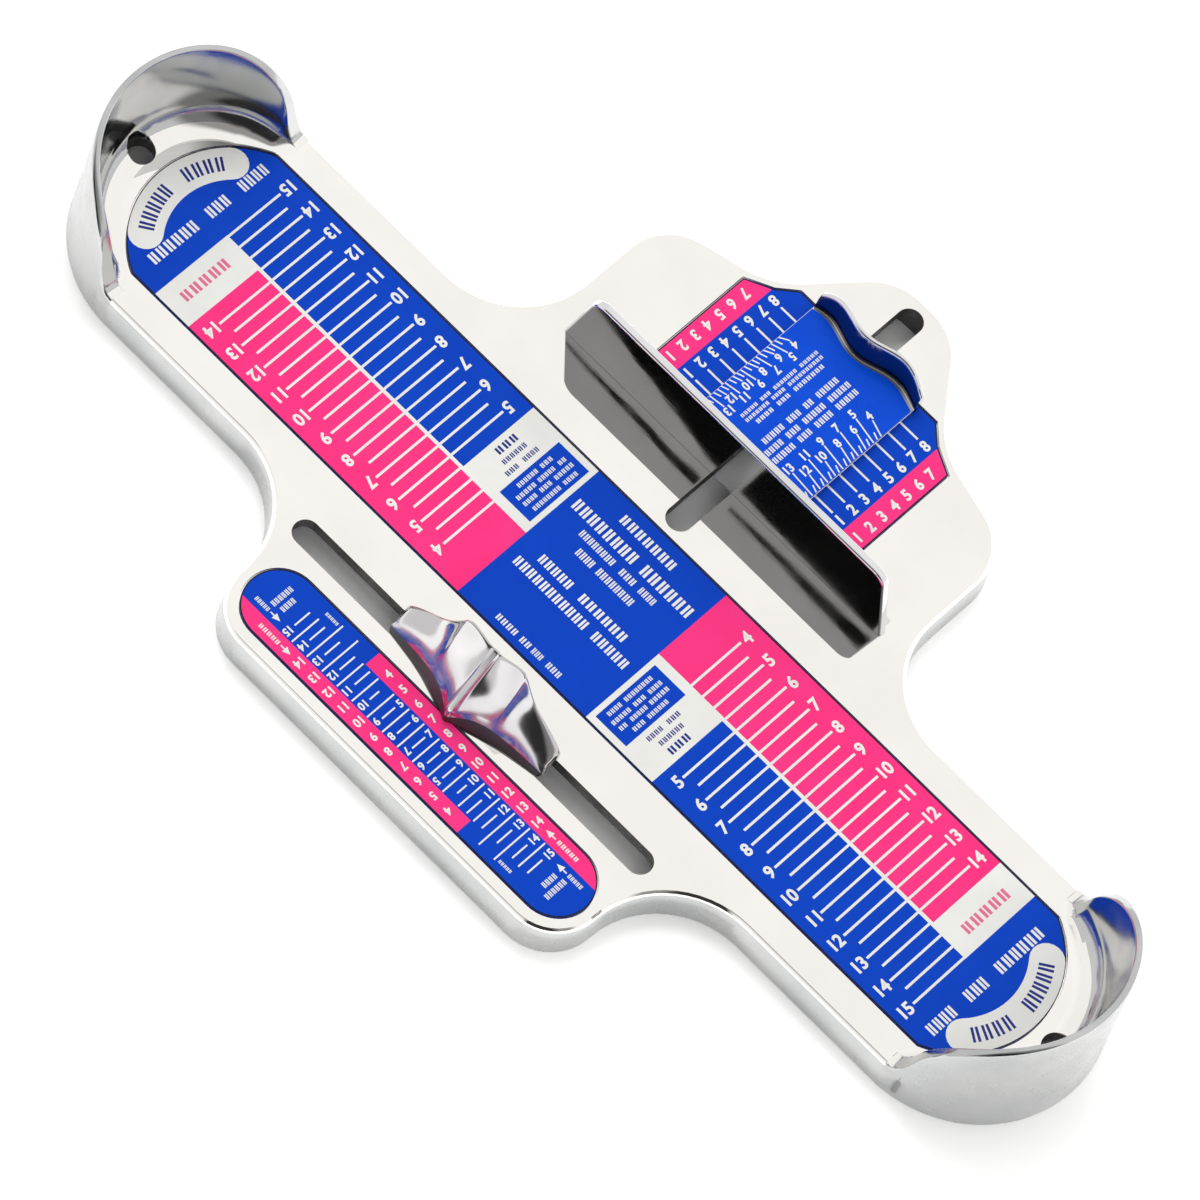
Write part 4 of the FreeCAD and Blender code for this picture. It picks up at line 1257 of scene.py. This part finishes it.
    def scale(self) -> bpy.types.Object:
        """Blue plate on the tongue, with its fans of lines and its numbers."""
        half = self.tongue_half - self.margin
        near = CENTRE_LINE + self.front + self.foot + self.margin
        top = SLIDE_BASE + self.plate_top
        ink = Printing(Maker("width_slide_scale_plate"), self.finishes, top)
        ink.maker.slab([(-half, near), (half, near)] + self.tongue_far(self.before_lip, half),
                       SLIDE_BASE + self.tongue_top + self.plate_gap, top,
                       self.finishes.slide_blue)
        for sign, columns in ((1, (12.9, 9.6)), (-1, (15.0, 12.9))):
            edge = sign * self.edge_x
            for i in range(self.figures):
                x = columns[i % 2]
                y, end = (first + step * i for first, step in (self.figure_row, self.line_row))
                ink.digit(4 + i, (sign * x, y), sign * QUARTER, self.figure_height)
                self.fan_line(ink, (sign * (x + self.figure_gap), y - 0.15), (edge, end))
                self.fan_line(ink, (sign * self.half_size_x, end - 0.7), (edge, end - 1.5))
        for x, height, groups in (
                (-0.3, 1.85, ((65.0, 73.0, 5), (74.6, 79.5, 3), (81.1, 84.4, 2), (86.0, 94.2, 5))),
                (2.7, 1.85, ((61.4, 69.6, 5), (71.2, 76.1, 3), (77.7, 86.0, 5), (87.6, 95.8, 5))),
                (5.6, 1.85, ((61.4, 71.2, 6), (72.8, 77.7, 3), (79.4, 85.9, 4), (87.6, 95.8, 5))),
                (-9.5, 1.1, ((66.0, 72.4, 5), (73.6, 77.4, 3), (78.7, 87.6, 7), (88.9, 96.0, 5))),
                (-7.7, 1.1, ((66.0, 75.0, 7), (76.2, 81.2, 4), (82.5, 96.0, 10))),
                (-5.6, 1.3, ((68.0, 74.5, 4), (76.1, 81.0, 3), (82.6, 94.2, 7)))):
            ink.words(groups, x, height)
        return ink.maker.piece(Body.WIDTH, Slot.PLATE, ("width_slide_scale",))

    def fan_line(self, ink: Printing, start: Point, stop: Point) -> None:
        """Thin slanting line from a number to the tongue's edge."""
        a, b = Vector(start), Vector(stop)
        side = Vector((-(b - a).y, (b - a).x)).normalized() * self.line_half
        corners = [a - side, b - side, b + side, a + side]
        ink.area([(c.x, c.y) for c in corners], self.finishes.white, rise=ink.mark_rise)

    def build(self) -> list[bpy.types.Object]:
        """Make the casting and its scale."""
        maker = Maker("width_slide_casting")
        self.bar(maker)
        self.bar_foot(maker)
        self.tongue(maker)
        self.lip(maker)
        made = maker.piece(Body.WIDTH, Slot.SLIDE, ("width_slide",))
        keep_flat(made)
        return [made, self.scale()]


# ----------------------------------------------------------------------- arch pointer
@dataclass
class ArchPointer:
    """Buffed casting with a keel down to its tip, two scoops and two low wings."""

    finishes: Finishes
    columns: list[tuple[float, list[Point]]] = field(default_factory=lambda: [
        (0.0, [(4.4, 0), (4.4, 11), (4.4, 22.5), (3.7, 22.5), (0.4, 19.0), (-5.0, 12.6),
               (-10.2, 5.0), (-10.7, 2.8), (-10.8, 0.7), (-10.8, 0)]),
        (0.7, [(4.4, 0), (4.4, 11), (4.4, 22.5), (3.7, 22.5), (0.4, 19.0), (-5.0, 12.5),
               (-10.0, 5.0), (-10.5, 2.8), (-10.6, 0.7), (-10.6, 0)]),
        (1.4, [(4.4, 0), (4.4, 11), (4.4, 21.6), (3.7, 21.5), (0.6, 17.6), (-4.8, 11.3),
               (-8.9, 4.9), (-9.5, 2.6), (-9.9, 0.6), (-9.9, 0)]),
        (5.0, [(4.4, 0), (4.4, 12), (4.4, 23.3), (3.7, 23.2), (1.2, 17.4), (-3.2, 11.2),
               (-6.0, 5.9), (-6.9, 4.3), (-8.8, 0.6), (-8.9, 0)]),
        (8.3, [(4.4, 0), (4.4, 12), (4.4, 24.6), (3.7, 24.6), (2.0, 19.4), (-1.6, 12.6),
               (-4.6, 6.4), (-5.6, 4.6), (-7.7, 0.6), (-7.8, 0)]),
        (10.9, [(4.4, 0), (4.4, 12), (4.4, 24.7), (3.6, 24.8), (2.0, 21.4), (-0.9, 14.8),
                (-4.0, 6.5), (-4.9, 4.7), (-6.8, 0.6), (-6.9, 0)]),
        (12.7, [(4.4, 0), (4.4, 10), (4.4, 20.4), (3.6, 20.4), (2.0, 16.6), (-0.9, 10.8),
                (-3.7, 6.0), (-4.5, 4.3), (-6.2, 0.6), (-6.3, 0)]),
        (16.6, [(4.4, 0), (4.4, 7), (4.4, 14.0), (3.6, 14.4), (1.7, 12.6), (-1.4, 9.2),
                (-3.2, 5.3), (-3.8, 3.8), (-5.2, 0.6), (-5.3, 0)]),
        (21.2, [(4.4, 0), (4.4, 5.5), (4.4, 11.0), (3.6, 11.5), (1.7, 10.3), (-1.1, 7.6),
                (-2.8, 4.4), (-3.3, 3.2), (-4.4, 0.6), (-4.5, 0)]),
        (25.6, [(4.3, 0), (4.3, 4), (4.2, 7.8), (3.4, 8.1), (1.6, 7.3), (-0.9, 5.5),
                (-2.4, 3.2), (-2.9, 2.3), (-3.8, 0.6), (-3.9, 0)]),
        (28.3, [(3.9, 0), (3.9, 2.8), (3.8, 5.5), (3.1, 5.7), (1.6, 5.0), (-0.4, 3.6),
                (-2.1, 2.2), (-2.5, 1.6), (-3.3, 0.5), (-3.4, 0)]),
    ])
    last: int = 10                  # the outermost column's number
    # rows 7 and 8, next to the plate, take the foot's darker finish as painted shade
    shaded: range = range(7, 9)     # the rows of faces in its foot's finish

    def crease(self, row: int, next_row: int, column: int, next_column: int) -> float:
        """How sharp the edge between two points of the net stays."""
        if row == next_row:
            if row in (2, 3, 6):
                central = max(column, next_column) <= 5
                return {2: 0.7, 3: 0.7, 6: 0.75}[row] if central else 0.0
            return {0: 1.0, 8: 0.5, 9: 1.0}.get(row, 0.0)
        if 3 <= min(row, next_row) and max(row, next_row) <= 6:
            return {1: 0.9, 2: 0.6, 5: 0.8}.get(column, 0.0)
        return 0.3 if column == self.last else 0.0

    def build(self) -> bpy.types.Object:
        """Make the pointer from its net of points, smoothed by subdivision."""
        maker = Maker("arch_pointer_casting")
        shape = maker.mesh
        # slot 1 is the foot's darker finish, painted shade next to the plate
        for finish in (self.finishes.pointer, self.finishes.foot):
            maker.index(finish)
        order = ([(-1, number) for number in range(self.last, 0, -1)]
                 + [(1, number) for number in range(self.last + 1)])
        sections = []
        for sign, number in order:
            x, points = self.columns[number]
            sections.append([(sign * x, CENTRE_LINE + ARCH_LINE + y, SLIDE_BASE + z)
                             for y, z in points])
        net = loft(shape, sections, self.shaded)
        layer = shape.edges.layers.float.new("crease_edge")
        place = {vertex: (row, number) for (_, number), line in zip(order, net)
                 for row, vertex in enumerate(line)}
        for edge in shape.edges:
            (row, column), (next_row, next_column) = (place[v] for v in edge.verts)
            edge[layer] = self.crease(row, next_row, column, next_column)
        made = maker.piece(Body.ARCH, Slot.SLIDE, ("arch_pointer",), angle=180)
        smooth = made.modifiers.new("smooth", "SUBSURF")
        smooth.levels = smooth.render_levels = 3
        return made


# --------------------------------------------------------------------------- hardware
@dataclass
class SlideScrews:
    """Pan-head screws with a cross recess, seen from underneath."""

    finishes: Finishes
    head_radius: float = 3.5
    head_height: float = 2.4
    shank_radius: float = 2.0
    spacing: float = 20.0
    washer_bottom: float = 4.0
    width_middle: float = 77.35
    width_shank: float = 10.3
    arch_shank: float = 13.1
    recess_depth: float = 1.3
    recess_length: float = 4.0
    recess_width: float = 0.8
    recess_taper: float = 0.55
    chamfer: float = 0.3
    skirt: float = 0.45             # the upright part of the head's height; the rest is domed

    def model(self, shank: float) -> bpy.types.Object:
        """One screw, its head downwards, the top of its head's seat at the origin."""
        dome = [(self.head_radius * math.cos(t * QUARTER / 6), -self.head_height
                 * (self.skirt + (1 - self.skirt) * math.sin(t * QUARTER / 6))) for t in range(6)]
        profile = [(0.0, shank), (self.shank_radius - self.chamfer, shank),
                   (self.shank_radius, shank - self.chamfer), (self.shank_radius, 0.0),
                   (self.head_radius, 0.0), *dome, (0.0, -self.head_height)]
        shape = bmesh.new()
        line = [shape.verts.new((radius, 0, z)) for radius, z in profile]
        edges = [shape.edges.new(pair) for pair in zip(line, line[1:])]
        bmesh.ops.spin(shape, geom=line + edges, cent=(0, 0, 0), axis=(0, 0, 1),
                       angle=2 * math.pi, steps=32, use_merge=True)
        bmesh.ops.remove_doubles(shape, verts=shape.verts, dist=1e-4)
        bmesh.ops.recalc_face_normals(shape, faces=shape.faces)
        return scratch("screw_model", shape)

    def cross(self) -> bpy.types.Object:
        """Tapered cross that cuts the driver recess."""
        shape = bmesh.new()
        for length, width in ((self.recess_length, self.recess_width),
                              (self.recess_width, self.recess_length)):
            block = bmesh.ops.create_cube(shape, size=1.0)
            for vertex in block["verts"]:
                taper = 1.0 if vertex.co.z < 0 else self.recess_taper
                vertex.co = Vector((vertex.co.x * length * taper, vertex.co.y * width,
                                    vertex.co.z * 2 * self.recess_depth - self.head_height))
        return scratch("recess_model", shape)

    def pair(self, name: str, body: Body, node: str, middle: Point, along: Point,
             shank: float) -> bpy.types.Object:
        """Two screws of one slide.

        Args:
            name: Name of the piece.
            body: The body that the screws ride on.
            node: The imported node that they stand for.
            middle: Between the two screws, about the length centre line.
            along: Direction from one to the other.
            shank: Length of the shank above the washer's underside.

        Returns:
            The piece.
        """
        screw, recess = self.model(shank), self.cross()
        take_away(screw, recess, crosses=True)
        half = self.spacing / 2
        start = (middle[0] - along[0] * half, CENTRE_LINE + middle[1] - along[1] * half,
                 self.washer_bottom)
        mesh = grown(row_tree(COPIES), Model=screw, Count=2, Start=start,
                     Step=(along[0] * self.spacing, along[1] * self.spacing, 0.0),
                     Finish=self.finishes.zinc)
        for done in (screw, recess):
            bpy.data.objects.remove(done)
        maker = Maker(name)
        maker.take(mesh, self.finishes.zinc)
        return maker.piece(body, Slot.ZINC, (node,))

    def build(self) -> None:
        """Make the screws of both slides."""
        self.pair("width_slide_screws", Body.WIDTH, "width_screws", (0, self.width_middle),
                  (0, 1), self.width_shank)
        self.pair("arch_slide_screws", Body.ARCH, "arch_screws", (0, ARCH_LINE), (1, 0),
                  self.arch_shank)


def dress_nodes(finishes: Finishes) -> None:
    """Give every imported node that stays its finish."""
    for finish, names in (
            (finishes.blue, ("length_scale", "width_scale_right", "width_scale_left",
                             "arch_scale")),
            (finishes.film, ("length_scale_adhesive", "width_scale_adhesive_right",
                             "width_scale_adhesive_left", "arch_scale_adhesive",
                             "width_slide_scale_adhesive")),
            (finishes.nylon, ("width_guide_block", "arch_guide_block")),
            (finishes.spring, ("width_leaf_springs", "arch_leaf_springs")),
            (finishes.zinc, ("width_keeper_plate", "arch_keeper_plate", "width_washers",
                             "arch_washers"))):
        for name in names:
            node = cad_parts[name]
            node.data.materials.clear()
            node.data.materials.append(finish)
            LOG.info("%s: packed node with %s", name, finish.name)


# ----------------------------------------------------------------------------- studio
class Blade(NamedTuple):
    """Tapered black card, in millimetres: its middle line, and its width at both ends."""

    start: Point
    stop: Point
    start_width: float
    stop_width: float

    def corners(self) -> list[Point]:
        """Its four corners, in metres."""
        (x0, y0), (x1, y1) = self.start, self.stop
        first, last = self.start_width / 2, self.stop_width / 2
        return [(x * MM, y * MM) for x, y in
                ((x0, y0 - first), (x1, y1 - last), (x1, y1 + last), (x0, y0 + first))]


@dataclass
class Studio:
    """Pale floor, soft light from behind the object, a dark ceiling before it, and the camera.

    The sky's ranges are parts of a unit direction along X, Y or Z.
    """

    lens: float = 275.4
    sensor: float = 36.0
    clip: Point = (0.05, 20.0)
    eye: Place = (0.4563, -1.02595, 2.1549)
    right: Place = (0.7019, 0.69067, 0.17411)
    down: Place = (0.68692, -0.59175, -0.42186)
    ahead: Place = (-0.18833, 0.4157, -0.88979)
    behind_y: Point = (-0.26, -0.02)
    fall_x: tuple[float, float, float, float] = (-0.27, -0.10, 0.98, 0.94)
    dim: float = 0.3                # the sky's strength on the near side
    before_y: tuple[float, float, float, float] = (-0.62, -0.46, 0.12, 1.0)
    raised_z: Point = (0.2, 0.55)
    aside_x: Point = (-0.55, -0.32)
    across_x: Point = (0.06, 0.2)
    elsewhere: float = 0.92         # its strength out of the raised and the across range
    sky_colour: Colour = (1.0, 0.995, 0.985, 1)
    backdrop: Colour = (1, 1, 1, 1)
    floor_size: float = 4.0
    floor_colour: Colour = (0.78, 0.78, 0.78, 1)
    floor_lift: Colour = (0.65, 0.65, 0.65, 1)      # added where the floor is seen or mirrored
    card_colour: Colour = (0.002, 0.002, 0.002, 1)
    card_height: float = 600.0
    cards: tuple[Blade, ...] = (
        Blade((-202, -284), (-126, -277), 10.0, 22.0),
        Blade((-199, -261), (-131, -257.5), 1.0, 4.0),
        Blade((-119, -276), (-53, -273), 19.0, 19.0),
        Blade((-117, -259), (-51, -258), 1.5, 5.5))
    lamps: tuple[tuple[str, Place, float, float], ...] = (
        ("key", (-0.9, 0.8, 2.2), 1.2, 16.0), ("fill", (0.9, -1.6, 1.8), 1.6, 12.0))

    def camera(self) -> None:
        """Place the camera."""
        data = bpy.data.cameras.new("camera")
        data.lens, data.sensor_width = self.lens, self.sensor
        data.clip_start, data.clip_end = self.clip
        camera = linked("camera", data)
        axes = Matrix((self.right, [-v for v in self.down], [-v for v in self.ahead])).transposed()
        camera.matrix_world = Matrix.Translation(self.eye) @ axes.to_4x4()
        bpy.context.scene.camera = camera

    def world(self) -> None:
        """White to the eye; for light and gloss, pale behind the object and dark before it."""
        world = bpy.data.worlds.new("studio")
        world.use_nodes = True
        world.node_tree.nodes.clear()
        bpy.context.scene.world = world
        sky = Nodes(world.node_tree)
        way = sky.add("ShaderNodeTexCoord").outputs["Generated"]
        x, y, z = sky.add("ShaderNodeSeparateXYZ", {0: way}).outputs
        bright = sky.both("MULTIPLY", sky.ramp(y, *self.behind_y, ease="SMOOTHSTEP"),
                          sky.ramp(x, *self.fall_x))
        room = sky.both("MULTIPLY", sky.ramp(bright, 0.0, 1.0, self.dim, 1.0),
                        sky.ramp(y, *self.before_y))
        inside = sky.both("MINIMUM", sky.ramp(z, *self.raised_z, ease="SMOOTHSTEP"),
                          sky.ramp(x, *self.aside_x))
        away = sky.both("MAXIMUM", inside, sky.ramp(x, *self.across_x))
        strength = sky.add("ShaderNodeMix", {0: away, 2: self.elsewhere, 3: room}).outputs[0]
        light = sky.add("ShaderNodeBackground", {"Color": self.sky_colour, "Strength": strength})
        seen = sky.add("ShaderNodeBackground", {"Color": self.backdrop, "Strength": 1.0})
        to_eye = sky.add("ShaderNodeLightPath").outputs["Is Camera Ray"]
        mix = sky.add("ShaderNodeMixShader", {0: to_eye, 1: light.outputs[0], 2: seen.outputs[0]})
        sky.add("ShaderNodeOutputWorld", {"Surface": mix.outputs[0]})

    def lamp(self, name: str, place: Place, size: float, power: float) -> None:
        """Soft lamp that lights the object but isn't mirrored in it."""
        data = bpy.data.lights.new(name, "AREA")
        data.size, data.energy = size, power
        lamp = linked(name, data)
        lamp.location = place
        lamp.rotation_euler = (-Vector(place)).to_track_quat("-Z", "Y").to_euler()
        lamp.visible_glossy = False
        lamp.visible_camera = False

    def floor(self) -> None:
        """Pale floor that keeps a soft shadow, brighter where it is seen or mirrored."""
        shape = bmesh.new()
        bmesh.ops.create_grid(shape, x_segments=1, y_segments=1, size=self.floor_size)
        floor = scratch("floor", shape)
        shader = Shader("pale_floor")
        shader.surface.inputs["Base Color"].default_value = self.floor_colour
        shader.gloss(shader.noise(30, 3), 0.85, 0.95)
        plain = shader.surface.outputs[0]
        seen = shader.add("ShaderNodeBsdfDiffuse", {"Color": self.floor_lift})
        lifted = shader.add("ShaderNodeAddShader", {0: plain, 1: seen.outputs[0]})
        path = shader.add("ShaderNodeLightPath").outputs
        direct = shader.both("MAXIMUM", path["Is Camera Ray"], path["Is Glossy Ray"])
        bare = shader.both("MAXIMUM", direct, path["Is Transmission Ray"])
        choice = shader.add("ShaderNodeMixShader", {0: bare, 1: plain, 2: lifted.outputs[0]})
        output = shader.tree.nodes["Material Output"]
        shader.tree.links.new(choice.outputs[0], output.inputs["Surface"])
        floor.data.materials.append(shader.material)

    def dark_cards(self) -> None:
        """Black cards high before the object, which polished metal mirrors."""
        shape = bmesh.new()
        for card in self.cards:
            shape.faces.new([shape.verts.new((x, y, self.card_height * MM))
                             for x, y in card.corners()])
        cards = scratch("dark_cards", shape)
        shader = Shader("black_card")
        shader.surface.inputs["Base Color"].default_value = self.card_colour
        shader.surface.inputs["Specular IOR Level"].default_value = 0.05
        shader.gloss(shader.noise(20, 2), 0.8, 0.95)
        cards.data.materials.append(shader.material)
        cards.visible_camera = cards.visible_diffuse = cards.visible_shadow = False

    def build(self) -> None:
        """Set the camera, the light, the floor and the cards."""
        self.camera()
        self.world()
        self.floor()
        self.dark_cards()
        for settings in self.lamps:
            self.lamp(*settings)
        bpy.context.scene.view_settings.view_transform = "Standard"


def main() -> None:
    """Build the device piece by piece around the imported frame."""
    logging.basicConfig(level=logging.INFO, format="%(message)s")
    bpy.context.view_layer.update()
    finishes = Finishes()
    dress_nodes(finishes)
    FootPlate(finishes).build()
    LengthScale(finishes).build()
    WidthScales(finishes).build()
    ArchScale(finishes).build()
    WidthSlide(finishes).build()
    ArchPointer(finishes).build()
    SlideScrews(finishes).build()
    Studio().build()


if __name__ == "__main__":
    main()
